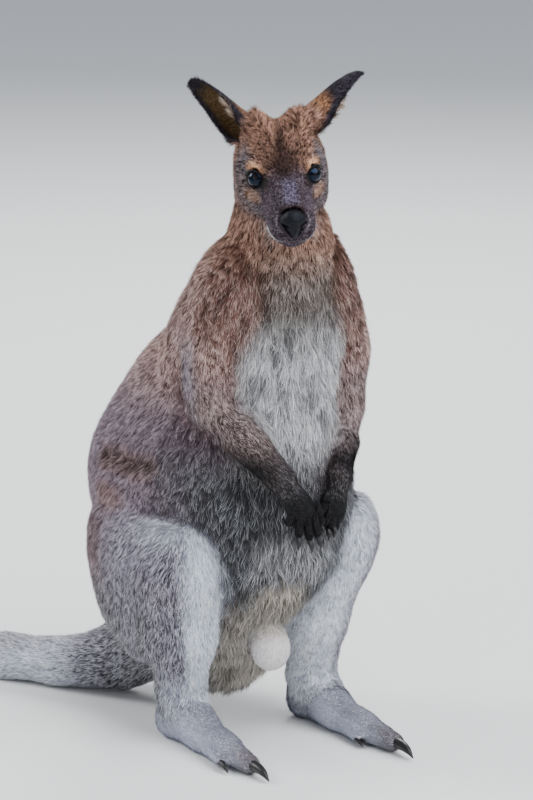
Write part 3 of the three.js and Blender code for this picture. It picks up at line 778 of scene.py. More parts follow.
# %% The lie of the hair
def tail_way(p):
    """Along the tail towards its tip, from the nearest length of it."""
    spans = list(zip(TAIL_PATH, TAIL_PATH[1:]))
    nearest = np.argmin([bone(p, a, b, 0, 0) for a, b in spans], axis=0)
    ways = unit(np.array([np.subtract(b, a) for a, b in spans], float))
    return ways[nearest]


def lie_of(p, n, names, shares):
    """The wishes of the parts, mixed by their shares and laid onto the skin."""
    x, y, z = p.T
    down = np.stack([0.0016 * x, 0.28 + 0.0016 * np.clip(y, -60, 160), -np.ones(len(p))], 1)
    down[:, 1] += 0.9 * ease(210, 120, z) * ease(60, 150, y)
    ones = np.ones(len(p))
    head = np.stack([0.12 * np.sign(in_head(p)[:, 0]), ones, -0.25 * ones], 1)
    ways = {"torso": down, "neck": down, "tail": tail_way(p), "scrotum": down, "head": head @ HEAD_TURN.T}
    for name, side in SIDES.items():
        ways[f"thigh_{name}"] = (0.05 * side, 0.10, -1)
        ways[f"shank_{name}"] = np.subtract(ANKLE[name], KNEE[name])
        ways[f"foot_{name}"] = (0, -1, -0.05)
        ways[f"upper_arm_{name}"] = np.subtract(ELBOW[name], SHOULDER_JOINT[name])
        ways[f"forearm_{name}"] = np.subtract(WRIST[name], ELBOW[name])
        ways[f"hand_{name}"] = np.subtract(KNUCKLES[name], WRIST[name])
    mixed = sum(shares[:, i, None] * unit(np.array(ways[name], float)) for i, name in enumerate(names))
    return unit(mixed - n * dot(mixed, n))


lie = lie_of(place, skin_normals, names, shares)
for _ in range(8):
    lie = lie + neighbour_mean(lie, edges)
    lie = unit(lie - skin_normals * dot(lie, skin_normals))

# %% [markdown]
# ## Materials
# Hair, skin, wet eye, leathery nose and horn each get a material made of nodes. Hair, skin and eye take their
# markings from a colour attribute of the mesh and add fine noise, so that no two hairs look quite alike.

# %% Material helpers
def material(name, roughness, grain=None, **sockets):
    """A shader with its sockets set; grain gives the scale, depth and strength of a fine bump."""
    made = bpy.data.materials.new(name)
    made.use_nodes = True
    shader = made.node_tree.nodes["Principled BSDF"]
    shader.inputs["Roughness"].default_value = roughness
    for socket, value in sockets.items():
        shader.inputs[socket.replace("_", " ")].default_value = value
    if grain:
        bump(made.node_tree, noise_factor(made.node_tree, grain[0], 0.0, 1.0), *grain[1:])
    return made


def node(tree, kind, **settings):
    made = tree.nodes.new(kind)
    for key, value in settings.items():
        if key in made.inputs:
            made.inputs[key].default_value = value
        else:
            setattr(made, key, value)
    return made


def noise_factor(tree, scale, low, high):
    """A grey number between low and high that wanders through the object."""
    place = node(tree, "ShaderNodeTexCoord")
    noise = node(tree, "ShaderNodeTexNoise", Scale=scale, Detail=3.0)
    ramp = node(tree, "ShaderNodeMapRange")
    ramp.inputs["To Min"].default_value = low
    ramp.inputs["To Max"].default_value = high
    tree.links.new(place.outputs["Object"], noise.inputs["Vector"])
    tree.links.new(noise.outputs["Fac"], ramp.inputs["Value"])
    return ramp.outputs["Result"]


def bump(tree, height, distance, strength):
    made = node(tree, "ShaderNodeBump", Strength=strength, Distance=distance)
    tree.links.new(height, made.inputs["Height"])
    tree.links.new(made.outputs["Normal"], tree.nodes["Principled BSDF"].inputs["Normal"])


def marked(name, roughness, spread, scale, **sockets):
    """A material whose base colour is the mesh's own markings, lightened and darkened by noise."""
    made = material(name, roughness, **sockets)
    tree = made.node_tree
    marks = node(tree, "ShaderNodeAttribute", attribute_name="markings")
    scaled = node(tree, "ShaderNodeVectorMath", operation="SCALE")
    tree.links.new(marks.outputs["Color"], scaled.inputs[0])
    tree.links.new(noise_factor(tree, scale, 1 - spread, 1 + spread), scaled.inputs["Scale"])
    tree.links.new(scaled.outputs["Vector"], tree.nodes["Principled BSDF"].inputs["Base Color"])
    return made


coat_material = marked("coat", 0.75, 0.22, 260.0, Specular_IOR_Level=0.10)
skin_material = marked("skin", 0.75, 0.25, 400.0, grain=(900.0, 0.0008, 0.6), Specular_IOR_Level=0.2)


# %% Meshes from arrays
def mesh_from(name, place, faces, look, smooth=True):
    """A piece from points in the animal's frame and faces, at the origin, with its material."""
    mesh = bpy.data.meshes.new(name)
    mesh.from_pydata(world(place).tolist(), [], faces.tolist() if isinstance(faces, np.ndarray) else faces)
    mesh.polygons.foreach_set("use_smooth", np.full(len(mesh.polygons), smooth))
    mesh.update()
    mesh.materials.append(look)
    return linked(name, mesh)


def mark_points(mesh, colours):
    layer = mesh.color_attributes.new("markings", "FLOAT_COLOR", "POINT")
    rgba = np.concatenate([colours, np.ones((len(colours), 1))], 1)
    layer.data.foreach_set("color", rgba.astype(np.float32).ravel())


def joins(piece, slot, *nodes):
    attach(piece, "root")
    if nodes:
        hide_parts(*nodes)


skin = linked("skin", skin_mesh)
skin_mesh.materials.append(skin_material)
skin_mesh.polygons.foreach_set("use_smooth", np.full(len(skin_mesh.polygons), True))
mark_points(skin_mesh, colours[:, 0] * 0.75 + colours[:, 1] * 0.25)
joins(skin, "grizzled_coat", *FLESH)

# %% [markdown]
# ## Tufts
# The coat is made of narrow blades, each a small tuft of hairs. Roots are scattered over a skin's faces, as
# many to the square centimetre as the part asks for. A blade leaves its root at a slant along the lie and
# narrows to a point, and the long ones of the front bend over on their way. Neighbours lean towards a shared
# tip, which gathers them into the soft locks of a real coat. All of it is array work.
#
# Each blade also has a place on an unwrap of the skin: the way round the part and the way along it. That
# map lets the colours be baked onto the blades later.

# %% Scattering roots
QUICK = 1.0


def scattered(place, corners, density, fields, draw):
    """Roots over triangles, each with its area times its density of them, and every field taken there."""
    p0, p1, p2 = (place[corners[:, i]] for i in range(3))
    area = np.linalg.norm(np.cross(p1 - p0, p2 - p0), axis=1) / 200  # square centimetres
    wanted = area * density[corners].mean(1) * QUICK
    count = int(wanted.sum())
    face = np.searchsorted(np.cumsum(wanted), draw.random(count) * wanted.sum())
    face = np.clip(face, 0, len(corners) - 1)
    cuts = np.sort(draw.random((count, 2)), axis=1)
    share = np.stack([cuts[:, 0], cuts[:, 1] - cuts[:, 0], 1 - cuts[:, 1]], 1)
    fields = {"place": place, **fields}
    roots = {key: np.einsum("rc,rc...->r...", share, fields[key][corners[face]]) for key in fields}
    roots["normal"] = unit(roots["normal"])
    roots["lie"] = unit(roots["lie"] - roots["normal"] * dot(roots["lie"], roots["normal"]))
    return roots


def triangles_of(mesh):
    mesh.calc_loop_triangles()
    return rows_of(mesh.loop_triangles, "vertices", 3, np.int32)


# %% The middles of locks
def locked(p, size, seed):
    """The middle of each point's lock: the nearest of 27 jittered points of a lattice."""
    cell = np.floor(p / size)
    best, middle = np.full(len(p), np.inf), np.zeros_like(p)
    for step in np.ndindex(3, 3, 3):
        corner = cell + np.array(step) - 1
        mix = corner @ np.array([127.1, 311.7, 74.7])
        jitter = np.stack([np.modf(np.sin(mix + seed + k * 19.19) * 43758.5453)[0] for k in range(3)], 1)
        point = (corner + 0.5 + 0.42 * jitter) * size
        reach = np.linalg.norm(p - point, axis=1)
        closer = reach < best
        best = np.where(closer, reach, best)
        middle = np.where(closer[:, None], point, middle)
    return middle


# %% Where a root lies on the unwrap
def turn_and_share(p, start, end):
    """The way round a straight axis, 0 to 1, and the way along it, 0 to 1."""
    start, end = np.array(start, float), np.array(end, float)
    along = unit(end - start)
    across = unit(np.cross(along, (0.0, 0.3, 1.0) if abs(along[2]) < 0.8 else (0.0, 1.0, 0.0)))
    third = np.cross(along, across)
    turn = np.arctan2((p - start) @ third, (p - start) @ across) / (2 * np.pi) + 0.5
    share = (p - start) @ along
    return np.stack([turn, (share - share.min()) / max(np.ptp(share), 1e-6)], 1)


def part_axes():
    """The straight axis of each part, round which its coat is unwrapped."""
    axes = {
        "torso": ((0, 70, 60), (0, -40, 520)),
        "neck": ((0, -50, 470), (-12, -78, 600)),
        "scrotum": ((2, -40, 130), (2, -48, 70)),
        "tail": ((0, 100, 60), (-205, 800, 10)),
        "head": (from_head((0, -100, -8)), from_head((0, 80, 10))),
    }
    for name, side in SIDES.items():
        axes[f"thigh_{name}"] = (70 * side, 60, 290), (82 * side, 40, 70)
        axes[f"shank_{name}"] = KNEE[name], ANKLE[name]
        axes[f"foot_{name}"] = (81 * side, 35, 18), (87 * side, -180, 10)
        axes[f"upper_arm_{name}"] = (66 * side, -48, 510), ELBOW[name]
        axes[f"forearm_{name}"] = ELBOW[name], WRIST[name]
        axes[f"hand_{name}"] = WRIST[name], np.add(KNUCKLES[name], (0, 0, -40))
    return axes


PATCH_SIZE = 0.003


def islands(p, parts, axes):
    """Each part's unwrap in its own column of the map, as wide as its share of the roots."""
    flat = np.zeros((len(p), 2))
    left = 0.0
    for part in np.unique(parts):
        here = parts == part
        inner = turn_and_share(p[here], *axes[part])
        inside = left + here.mean() * (0.02 + 0.96 * inner[:, 0])
        flat[here] = np.stack([inside, PATCH_SIZE + (1 - 2 * PATCH_SIZE) * inner[:, 1]], 1)
        left += here.mean()
    return flat


# %% Growing the blades
FLATTEN = 0.55  # how much of its rise a blade has lost again at its tip


def blades(name, roots, bends, slot, axes, seed, lift=0.6, gather=0.6, fleck=1.5):
    """One coat piece; bends counts the joints of a blade before its tip, fleck is a spot's size in mm."""
    draw = np.random.default_rng(seed)
    p, n, way = (roots[key] for key in ("place", "normal", "lie"))
    count = len(p)
    long = roots["length"] * draw.uniform(0.7, 1.15, count)
    wide = roots["width"] * draw.uniform(0.7, 1.3, count)
    drift = waves(p, 30, 3) * 0.20 + waves(p, 9, 4) * 0.20 + draw.normal(0, 0.22, count)
    way = unit(way + np.cross(n, way) * drift[:, None])
    side = np.cross(n, way)
    middle = locked(p, np.clip(long.mean() * 0.55, 2.2, 9), 5)
    pull = ((middle - p) - n * dot(middle - p, n)) * gather
    rise = lift * roots["stand"] * draw.uniform(0.5, 1.35, count) * (1 + 0.22 * waves(p, 12, 6))
    steps = np.linspace(0, 1, bends + 2)
    spines = [
        p
        + way * (long * step * (1 - 0.12 * rise))[:, None]
        + n * (long * rise * (step - FLATTEN * step * step) - 0.3 * (step == 0))[:, None]
        + pull * step**1.4
        for step in steps
    ]
    halves = [side * (0.5 * wide * (1 - step) ** 0.6)[:, None] for step in steps[:-1]]
    pairs = [spine + half * sign for spine, half in zip(spines, halves) for sign in (-1, 1)]
    points = np.stack([*pairs, spines[-1]], 1)
    points[..., 2] = np.maximum(points[..., 2], 0.4)
    per = 2 * bends + 3
    base = (np.arange(count) * per)[:, None]
    quads = [base + np.array([2 * i + 1, 2 * i, 2 * i + 2, 2 * i + 3]) for i in range(bends)]
    loops = np.concatenate([*quads, base + np.array([per - 2, per - 3, per - 1])], 1).ravel()
    sizes = np.tile([4] * bends + [3], count)
    mesh = bpy.data.meshes.new(name)
    mesh.vertices.add(count * per)
    mesh.loops.add(len(loops))
    mesh.polygons.add(len(sizes))
    mesh.vertices.foreach_set("co", world(points).astype(np.float32).ravel())
    mesh.loops.foreach_set("vertex_index", loops.astype(np.int32))
    mesh.polygons.foreach_set("loop_start", (np.cumsum(sizes) - sizes).astype(np.int32))
    mesh.polygons.foreach_set("use_smooth", np.full(len(sizes), True))
    mesh.update()
    mark_points(mesh, blade_colours(roots["colours"], roots["lock_shade"], p, steps, fleck, draw).reshape(-1, 3))

    # Each blade is a small patch at its root's place on the unwrap.
    patch = [((i % 2) - 0.5, i // 2 / (bends + 1) - 0.5) for i in range(per - 1)] + [(0.0, 0.5)]
    flat = islands(p, roots["part"], axes)[:, None] + np.array(patch)[None] * PATCH_SIZE
    layer = mesh.uv_layers.new(name="OFBake")
    layer.uv.foreach_set("vector", flat.reshape(-1, 2)[loops].astype(np.float32).ravel())

    # Light falls on the coat as a soft whole, so the blades borrow most of the skin's own normals.
    facing = unit(np.cross(way + n * (rise * 0.3)[:, None], side))
    facing = unit(facing * np.sign(dot(facing, n)) * 0.5 + n * 0.5 + side * draw.normal(0, 0.16, (count, 1)))
    layer = mesh.attributes.new("custom_normal", "FLOAT_VECTOR", "POINT")
    layer.data.foreach_set("vector", np.repeat(facing, per, 0).astype(np.float32).ravel())
    mesh.materials.append(coat_material)
    joins(linked(name, mesh), slot)
    print(name, count, "blades,", count * (2 * bends + 1), "triangles")


def fleck_of(p, size, seed):
    """A number from 0 to 1 that all the blades of one small lock share."""
    mix = np.sin(locked(p, size, seed) @ np.array([12.99, 78.23, 37.72])) * 43758.5453
    return np.modf(np.abs(mix))[0]


def blade_colours(three, lock_shade, p, steps, fleck, draw):
    """Underfur at the root, then the hair, then a pale band or a dark tip, different from blade to blade."""
    count = len(three)
    kind = (0.6 * fleck_of(p, fleck, 21) + 0.4 * draw.random(count) + 0.02 * waves(p, 16, 9))[:, None]
    tone = draw.uniform(0.75, 1.25, (count, 1, 1)) * (1 + 0.05 * waves(p, 20, 8))[:, None, None]
    tip = three[:, 1] + ease(0.46, 0.70, kind) * (three[:, 2] * 1.25 - three[:, 1])
    tip = tip + ease(0.40, 0.22, kind) * (three[:, 0] * 0.5 - tip)
    # Painted shade: wavy dark bands in the gaps between locks, as deep as lock_shade asks.
    gap = ease(0.0, 1.1, waves(p * [1, 1, 0.35], 9, 12) + 0.5 * waves(p * [1, 1, 0.5], 20, 13))
    tone = tone * (1 - lock_shade * gap)[:, None, None]
    root = three[:, 0] * 0.7 if len(steps) > 2 else three[:, 0] * 0.3 + tip * 0.6
    rows = []
    for step in steps:
        mixed = root + ease(0.0, 0.5, step) * (three[:, 1] * 0.85 - root)
        mixed = mixed + ease(0.35, 0.9, step) * (tip - mixed)
        rows += [mixed] * (2 if step < 1 else 1)
    return np.clip(np.stack(rows, 1) * tone, 0, 0.95)


# %% The coat of the body, piece by piece
DENSITY = {"torso": 196, "thigh": 240, "neck": 320, "tail": 100, "upper_arm": 320, "shank": 300}
DENSITY |= {"forearm": 400, "head": 480, "foot": 260, "hand": 420, "scrotum": 200}
FRONT_SHARE = 0.42  # long blades on the front of the body stand this much less densely
NOSE_FRONT = -91.0  # in the head's frame, where the skin is almost bare under the pad
WIDTH = {"torso": 0.8, "thigh": 0.72, "neck": 0.66, "tail": 0.85, "upper_arm": 0.62, "shank": 0.72}
WIDTH |= {"forearm": 0.55, "head": 0.46, "foot": 0.6, "hand": 0.45, "scrotum": 0.5}


def bare_near_eyes(p):
    """0 on the lids and the eyeball, 1 elsewhere."""
    furred = np.ones(len(p))
    for side in (-1, 1):
        reach, off, around = eye_angles(p, side)
        furred[(reach < 24) & (off < lid_edge(around) + 7)] = 0
    return furred


density = by_part(DENSITY, names, shares) * bare_near_eyes(place)
density[head_points[:, 1] < NOSE_FRONT] *= 0.2
torso_share = shares[:, names.index("torso")]
density *= 1 - (1 - FRONT_SHARE) * torso_share * ease(-0.15, -0.35, skin_normals[:, 1])
torso_front = torso_share * ease(-0.1, -0.5, skin_normals[:, 1])
belly = torso_front * ease(330, 290, place[:, 2])
body_fields = {
    "normal": skin_normals,
    "lie": lie,
    "length": length,
    "colours": colours,
    "width": by_part(WIDTH, names, shares),
    "stand": 1 + 0.35 * is_head * near(folded(head_points), *EAR_MOUND) + 0.3 * belly,
    # Painted shade between the locks, over the belly and the front of the chest.
    "lock_shade": 0.5 * belly + 0.65 * torso_front * ease(300, 340, place[:, 2]),
    "shares": shares,
}
body_roots = scattered(place, triangles_of(skin_mesh), density, body_fields, np.random.default_rng(11))
body_roots["part"] = body_roots.pop("shares").argmax(1)
axis_of = part_axes()
body_axes = [axis_of[name] for name in names]
kinds = np.array([part_kind(name) for name in names])[body_roots["part"]]
is_left = body_roots["place"][:, 0] > 0
is_front = body_roots["normal"][:, 1] < -0.25
coat_pieces = {
    "coat_back_right": ((kinds == "torso") & ~is_front & ~is_left, 0, "grizzled_coat", 0.3),
    "coat_back_left": ((kinds == "torso") & ~is_front & is_left, 0, "grizzled_coat", 0.3),
    "coat_front_right": ((kinds == "torso") & is_front & ~is_left, 1, "pale_coat", 0.75),
    "coat_front_left": ((kinds == "torso") & is_front & is_left, 1, "pale_coat", 0.75),
    "coat_neck": (kinds == "neck", 0, "rufous_coat", 0.3),
    "coat_head": (kinds == "head", 0, "rufous_coat", 0.2),
    "coat_thigh_right": ((kinds == "thigh") & ~is_left, 0, "grizzled_coat", 0.3),
    "coat_thigh_left": ((kinds == "thigh") & is_left, 0, "grizzled_coat", 0.3),
    "coat_shanks": ((kinds == "shank") | (kinds == "scrotum"), 0, "pale_coat", 0.3),
    "coat_feet": (kinds == "foot", 0, "pale_coat", 0.3),
    "coat_arms": (kinds == "upper_arm", 0, "grizzled_coat", 0.3),
    "coat_forearms": ((kinds == "forearm") | (kinds == "hand"), 0, "black_coat", 0.3),
    "coat_tail": (kinds == "tail", 0, "grizzled_coat", 0.3),
}
for seed, (name, (chosen, bends, slot, gather)) in enumerate(coat_pieces.items()):
    some = {key: values[chosen] for key, values in body_roots.items()}
    fleck = 1.2 if name == "coat_head" else 1.6
    blades(name, some, bends, slot, body_axes, seed, gather=gather, fleck=fleck)

# %% [markdown]
# ## Fingers
# Five long fingers hang from each palm, dark and short-furred down to the claws, with thicker knuckles.
# Each is a bar along a curve from its root to its claw, sunk into the palm.

# %% Fingers and their short fur
HAND = {
    "right": {
        "roots": [(-2, -147, 270), (-8, -150, 262), (-17, -151, 260), (-26, -150, 262), (-32, -147, 268)],
        "tips": [(4, -145, 252), (-3, -151, 242), (-14, -153, 240), (-26, -151, 244), (-38, -147, 257)],
        "claws": [(8, -146, 242), (0, -153, 229), (-13, -156, 227), (-28, -153, 231), (-43, -149, 247)],
    },
    "left": {
        "roots": [(20, -124, 266), (26, -125, 258), (32, -125, 256), (38, -124, 257), (43, -122, 263)],
        "tips": [(12, -124, 257), (18, -125, 246), (25, -125, 242), (32, -124, 244), (39, -121, 250)],
        "claws": [(9, -126, 248), (16, -127, 235), (24, -128, 230), (31, -127, 232), (38, -123, 238)],
    },
}
FINGER_GIRTH = [5.0, 5.0, 4.4, 4.7, 3.8]  # with a knuckle at the root and another before the tip
OVER_FINGERS = (0, 1, 0.2)


def surface_fields(piece, way, length, width, colours, part):
    """The fields that blades need, for a piece whose coat is alike all over or given point by point."""
    normal = normals_of(piece.data)
    plain = {"length": length, "width": width, "stand": 1, "lock_shade": 0, "shares": part}
    fields = {key: np.broadcast_to(np.asarray(plain[key], float), len(normal)).copy() for key in plain}
    fields["colours"] = np.broadcast_to(np.asarray(colours, float), (len(normal), 3, 3)).copy()
    return fields | {"normal": normal, "lie": np.broadcast_to(way, normal.shape).copy()}


def own_roots(piece, density, fields, draw):
    roots = scattered(own(points_of(piece.data)), triangles_of(piece.data), density, fields, draw)
    roots["part"] = np.round(roots.pop("shares")).astype(int)
    return roots


def stacked(roots):
    return {key: np.concatenate([some[key] for some in roots]) for key in roots[0]}


FINGER_DENSITY, FINGER_FUR = 420, 2.4
finger_roots, finger_axes = [], []
for name in SIDES:
    fingers = []
    for root, tip in zip(HAND[name]["roots"], HAND[name]["tips"]):
        start, end = np.array(root, float), np.array(tip, float)
        start = start + 0.45 * (start - end)
        knuckle = start * 0.4 + end * 0.6 + [0, -2.0, 0]
        finger = tube([start, knuckle, end], FINGER_GIRTH, OVER_FINGERS, sides=14, steps=18, blunt=1.0)
        fingers.append(finger)
        draw = np.random.default_rng(len(finger_axes) + 50)
        holder = mesh_from("finger", *finger, skin_material)
        fields = surface_fields(holder, unit(end - start), FINGER_FUR, 0.5, BLACK, len(finger_axes))
        finger_roots.append(own_roots(holder, np.full(len(finger[0]), FINGER_DENSITY), fields, draw))
        finger_axes.append((start, end))
        bpy.data.objects.remove(holder)
    hand = mesh_from(f"fingers_{name}", *together(fingers), skin_material)
    mark_points(hand.data, np.full((len(hand.data.vertices), 3), BLACK[0][0]))
    joins(hand, "black_coat", f"hand_{name}")
blades("coat_fingers", stacked(finger_roots), 0, "black_coat", finger_axes, 40, lift=0.35, gather=0.1)

# %% [markdown]
# ## Claws
# A claw is a curved horn that tapers to a point, rounder on top than below. It starts inside the finger or
# toe, so that the fur of the toes lies over its root.

# %% Claws
horn_material = material(
    "claw_horn", 0.36, (1400.0, 0.0002, 0.4),
    Base_Color=(0.012, 0.011, 0.012, 1), Specular_IOR_Level=0.35,
)
TOE_CLAWS = {
    "long": ([(87, -160, 12), (87, -172, 12), (87, -186, 9), (87, -196, 3.2)], [6.0, 5.6, 3.9, 0.5]),
    "outer": ([(105, -125, 9), (106, -133, 9), (107, -141, 6.6), (107.5, -147, 2.6)], [4, 3.6, 2.5, 0.4]),
    "inner_a": ([(69.5, -118, 8), (69, -125, 7.6), (69, -131, 5.6), (69, -135, 3)], [2.4, 2.2, 1.5, 0.3]),
    "inner_b": (
        [(64.5, -117, 8), (64, -124, 7.6), (63.5, -130, 5.6), (63.5, -134, 3)],
        [2.4, 2.2, 1.5, 0.3],
    ),
}
FINGER_CLAW, FINGER_CLAW_FLAT = [3.0, 2.9, 2.2, 0.4], 1.15
for name, side in SIDES.items():
    for toe, (path, radii) in TOE_CLAWS.items():
        route = [(x * side, y, z) for x, y, z in path]
        claw = mesh_from(f"toe_horn_{toe}_{name}", *tube(route, radii, (0, 0, 1), 16, 26), horn_material)
        joins(claw, "claw_horn", f"toe_claw_{toe}_{name}")
    spots = np.array([HAND[name][key] for key in ("roots", "tips", "claws")], float)
    for i, (root, tip, point) in enumerate(spots.swapaxes(0, 1), 1):
        route = [tip + 0.2 * (root - tip), tip, tip * 0.45 + point * 0.55 + [0, -2.2, 0], point]
        horn = tube(route, FINGER_CLAW, OVER_FINGERS, 14, 24, FINGER_CLAW_FLAT)
        joins(mesh_from(f"horn_{i}_{name}", *horn, horn_material), "claw_horn", f"claw_{i}_{name}")

# %% [markdown]
# ## Eyes
# A wallaby's eye is large, dark and wet: a brown iris so deep that it looks black, under a clear bulge. The
# ball's points lie on rings round the way it looks, and the ring's angle gives its colour. Black rims of
# bare skin follow the almond opening of the lids, with lashes above.

# %% Eyeballs
wet_material = marked(
    "wet_eye", 0.03, 0.1, 600.0, Specular_IOR_Level=0.3, Specular_Tint=(0.25, 0.55, 1.0, 1)
)
PUPIL, IRIS = 20, 42  # degrees from the gaze
IRIS_BROWN, PUPIL_BLACK = np.array([0.010, 0.004, 0.002]), 0.001
CORNEA = {"bulge": 0.8, "spread": 34}
BALL_ROUND = 56

for name, side in SIDES.items():
    gaze, out, up = eye_axes(side)
    off = np.linspace(1.5, 178.5, 72)
    reach = EYE["radius"] + CORNEA["bulge"] * np.exp(-((off / CORNEA["spread"]) ** 4))
    ray = round_of(np.radians(off)[:, None], gaze, round_of(full_turn(BALL_ROUND), out, up))
    ball = rings_mesh(eye_centre(side) + ray * reach[:, None, None])
    eye = mesh_from(f"eyeball_{name}", *ball, wet_material)
    iris = ease(PUPIL - 2, PUPIL + 2, off)[:, None] * IRIS_BROWN
    shade = PUPIL_BLACK + iris * (1 - 0.75 * ease(IRIS - 6, IRIS, off))[:, None]
    tint = np.repeat(shade[:, None], BALL_ROUND, 1).reshape(-1, 3)
    mark_points(eye.data, np.concatenate([tint, shade[[0, -1]]]))
    joins(eye, "wet_eye", f"eye_{name}")

# %% Rims of the lids
rim_material = material(
    "lid_rim", 0.5, (2200.0, 0.0002, 0.5), Base_Color=(0.005, 0.004, 0.005, 1), Specular_IOR_Level=0.06
)
RIM_LONG, RIM_ROUND = 72, 10

for name, side in SIDES.items():
    gaze, out, up = eye_axes(side)
    around = full_turn(RIM_LONG)
    ray = round_of(np.radians(lid_edge(around) + 1.5), gaze, round_of(around, out, up))
    centre = eye_centre(side) + ray * (EYE["radius"] + 0.35)
    along = unit(np.roll(centre, -1, 0) - np.roll(centre, 1, 0))
    circle = round_of(full_turn(RIM_ROUND), ray[:, None], np.cross(along, ray)[:, None])
    thick = 1.15 + 0.45 * np.sin(around)
    points = (centre[:, None] + circle * thick[:, None, None]).reshape(-1, 3)
    spot = np.arange(RIM_LONG * RIM_ROUND).reshape(RIM_LONG, RIM_ROUND)
    ahead = np.roll(spot, -1, 0)
    quads = np.stack([spot, np.roll(spot, -1, 1), np.roll(ahead, -1, 1), ahead], -1).reshape(-1, 4)
    quads = quads if volume(points, quads.tolist()) > 0 else quads[:, ::-1]
    joins(mesh_from(f"lid_{name}", points, quads, rim_material), "black_coat")

# %% Lashes that fan out over the upper and outer rim
lash_material = material("lashes", 0.6, Base_Color=(0.010, 0.008, 0.008, 1))

for name, side in SIDES.items():
    gaze, out, up = eye_axes(side)
    draw = np.random.default_rng(70 + side)
    lashes = []
    for angle in np.radians(np.linspace(25, 150, 22)):
        way = round_of(angle, out, up)
        start = round_of(np.radians(lid_edge(angle) + 4), gaze, way) * (EYE["radius"] + 0.8)
        start = eye_centre(side) + start
        reach = draw.uniform(5, 8)
        middle = start + (gaze * 0.75 + way * 0.35 + out * 0.25) * reach * 0.5
        end = middle + (gaze * 0.25 + way * 0.75 + out * 0.35) * reach * 0.5
        lashes.append(tube([start, middle, end], [0.2, 0.15, 0.03], np.cross(gaze, way), 5, 7))
    joins(mesh_from(f"lashes_{name}", *together(lashes), lash_material), "black_coat")

# %% [markdown]
# ## Nose
# The pad between the nostrils is bare leather with a fine pebbled grain. It is the frame's nose drawn
# finely: from its middle, rays go out to the surface of two melted eggs. Each nostril is a slanting dip that
# deepens inwards, a low ridge crosses the top, a cleft runs down the middle, and the pad narrows downwards.

# %% Nose pad
leather_material = material(
    "nose_leather", 0.38, Base_Color=(0.003, 0.003, 0.004, 1),
    Specular_IOR_Level=0.16, Specular_Tint=(0.8, 0.85, 1.0, 1),
)
leather_tree = leather_material.node_tree
pebble = node(leather_tree, "ShaderNodeTexVoronoi", Scale=1050.0)
leather_place = node(leather_tree, "ShaderNodeTexCoord")
leather_tree.links.new(leather_place.outputs["Object"], pebble.inputs["Vector"])
bump(leather_tree, pebble.outputs["Distance"], 0.0005, 0.7)
NOSE_EGGS = [((0, -82, 2.5), (13.8, 9.6, 9.6), -24), ((0, -85.5, -7.5), (8.2, 6.8, 10.8), 0)]
NOSTRIL = {"out": 8.8, "up": -2.5, "size": (3.6, 2.4), "tip": 34, "depth": 4.5}


def nose_gap(p):
    return melt([egg(p, *spec) for spec in NOSE_EGGS], 5)


turn, tilt = np.meshgrid(full_turn(110), np.linspace(0.02, 0.98, 96) * np.pi)
ray = np.stack([np.sin(tilt) * np.cos(turn), -np.cos(tilt), np.sin(tilt) * np.sin(turn)], -1)
pad = way_out(nose_gap, np.array([0.0, -80.0, -1.0]), ray, 40.0)
slope = np.radians(NOSTRIL["tip"])
across, level = np.abs(pad[..., 0]) - NOSTRIL["out"], pad[..., 2] - NOSTRIL["up"]
one = (across * np.cos(slope) + level * np.sin(slope)) / NOSTRIL["size"][0]
two = (-across * np.sin(slope) + level * np.cos(slope)) / NOSTRIL["size"][1]
hole = NOSTRIL["depth"] * ease(1.15, 0.45, np.hypot(one, two)) * (pad[..., 1] < -82)
ridge = 0.9 * np.exp(-(((pad[..., 2] - 4.5 + 0.06 * pad[..., 0] ** 2) / 2.2) ** 2)) * (pad[..., 1] < -80)
cleft = 0.7 * np.exp(-(pad[..., 0] ** 2)) * ease(0, -6, pad[..., 2]) * (pad[..., 1] < -80)
pad = pad - ray * (hole + cleft - ridge)[..., None]
pad[..., 0] *= 1 - 0.62 * ease(-3, -18, pad[..., 2]) - 0.22 * ease(1, 11, pad[..., 2])
joins(mesh_from("nose_pad", *rings_mesh(from_head(pad)), leather_material), "nose_leather", "nose")

# %% [markdown]
# ## Ears
# Each ear is a funnel that opens into a long pointed cup. Its rows give, from root to tip, the share of the
# length, the radius, how many degrees the wall reaches round to each side, and how far it leans. The wall is
# a closed sheet, thick at its root and thin at its rim. Short hair covers the back, rusty at the base and
# black towards the tip; the cup is thinly haired, with a pale tuft along its upper rim.

# %% Ear surfaces
EAR = {"length": 88, "wall": 2.4}
EAR_ROWS = np.array([
    (-0.16, 12, 150, 0), (0.04, 14.5, 148, -2), (0.18, 16.5, 134, -3.5), (0.33, 17, 114, -3.5),
    (0.48, 16.3, 98, -3), (0.62, 15.2, 87, -2), (0.76, 13.4, 80, -1.5), (0.88, 10.6, 74, -1),
    (0.96, 7.6, 70, -1), (1, 4.6, 66, -1),
])
EARS = {  # its root in the head's frame, the way it points and the way it opens
    "right": ((-26, 34, 39), (-0.475, 0.655, 0.588), (-0.85, -0.45, -0.26)),
    "left": ((25.5, 34, 45.5), (0.835, 0.03, 0.55), (0.7, -0.23, -0.74)),
}
ROWS_UP, ROUND = 64, 44


def ear_frame(name):
    root, axis, mouth = (np.array(way, float) for way in EARS[name])
    axis = unit(axis)
    ahead = unit(mouth - axis * (mouth @ axis))
    return from_head(root), axis, ahead, np.cross(axis, ahead)


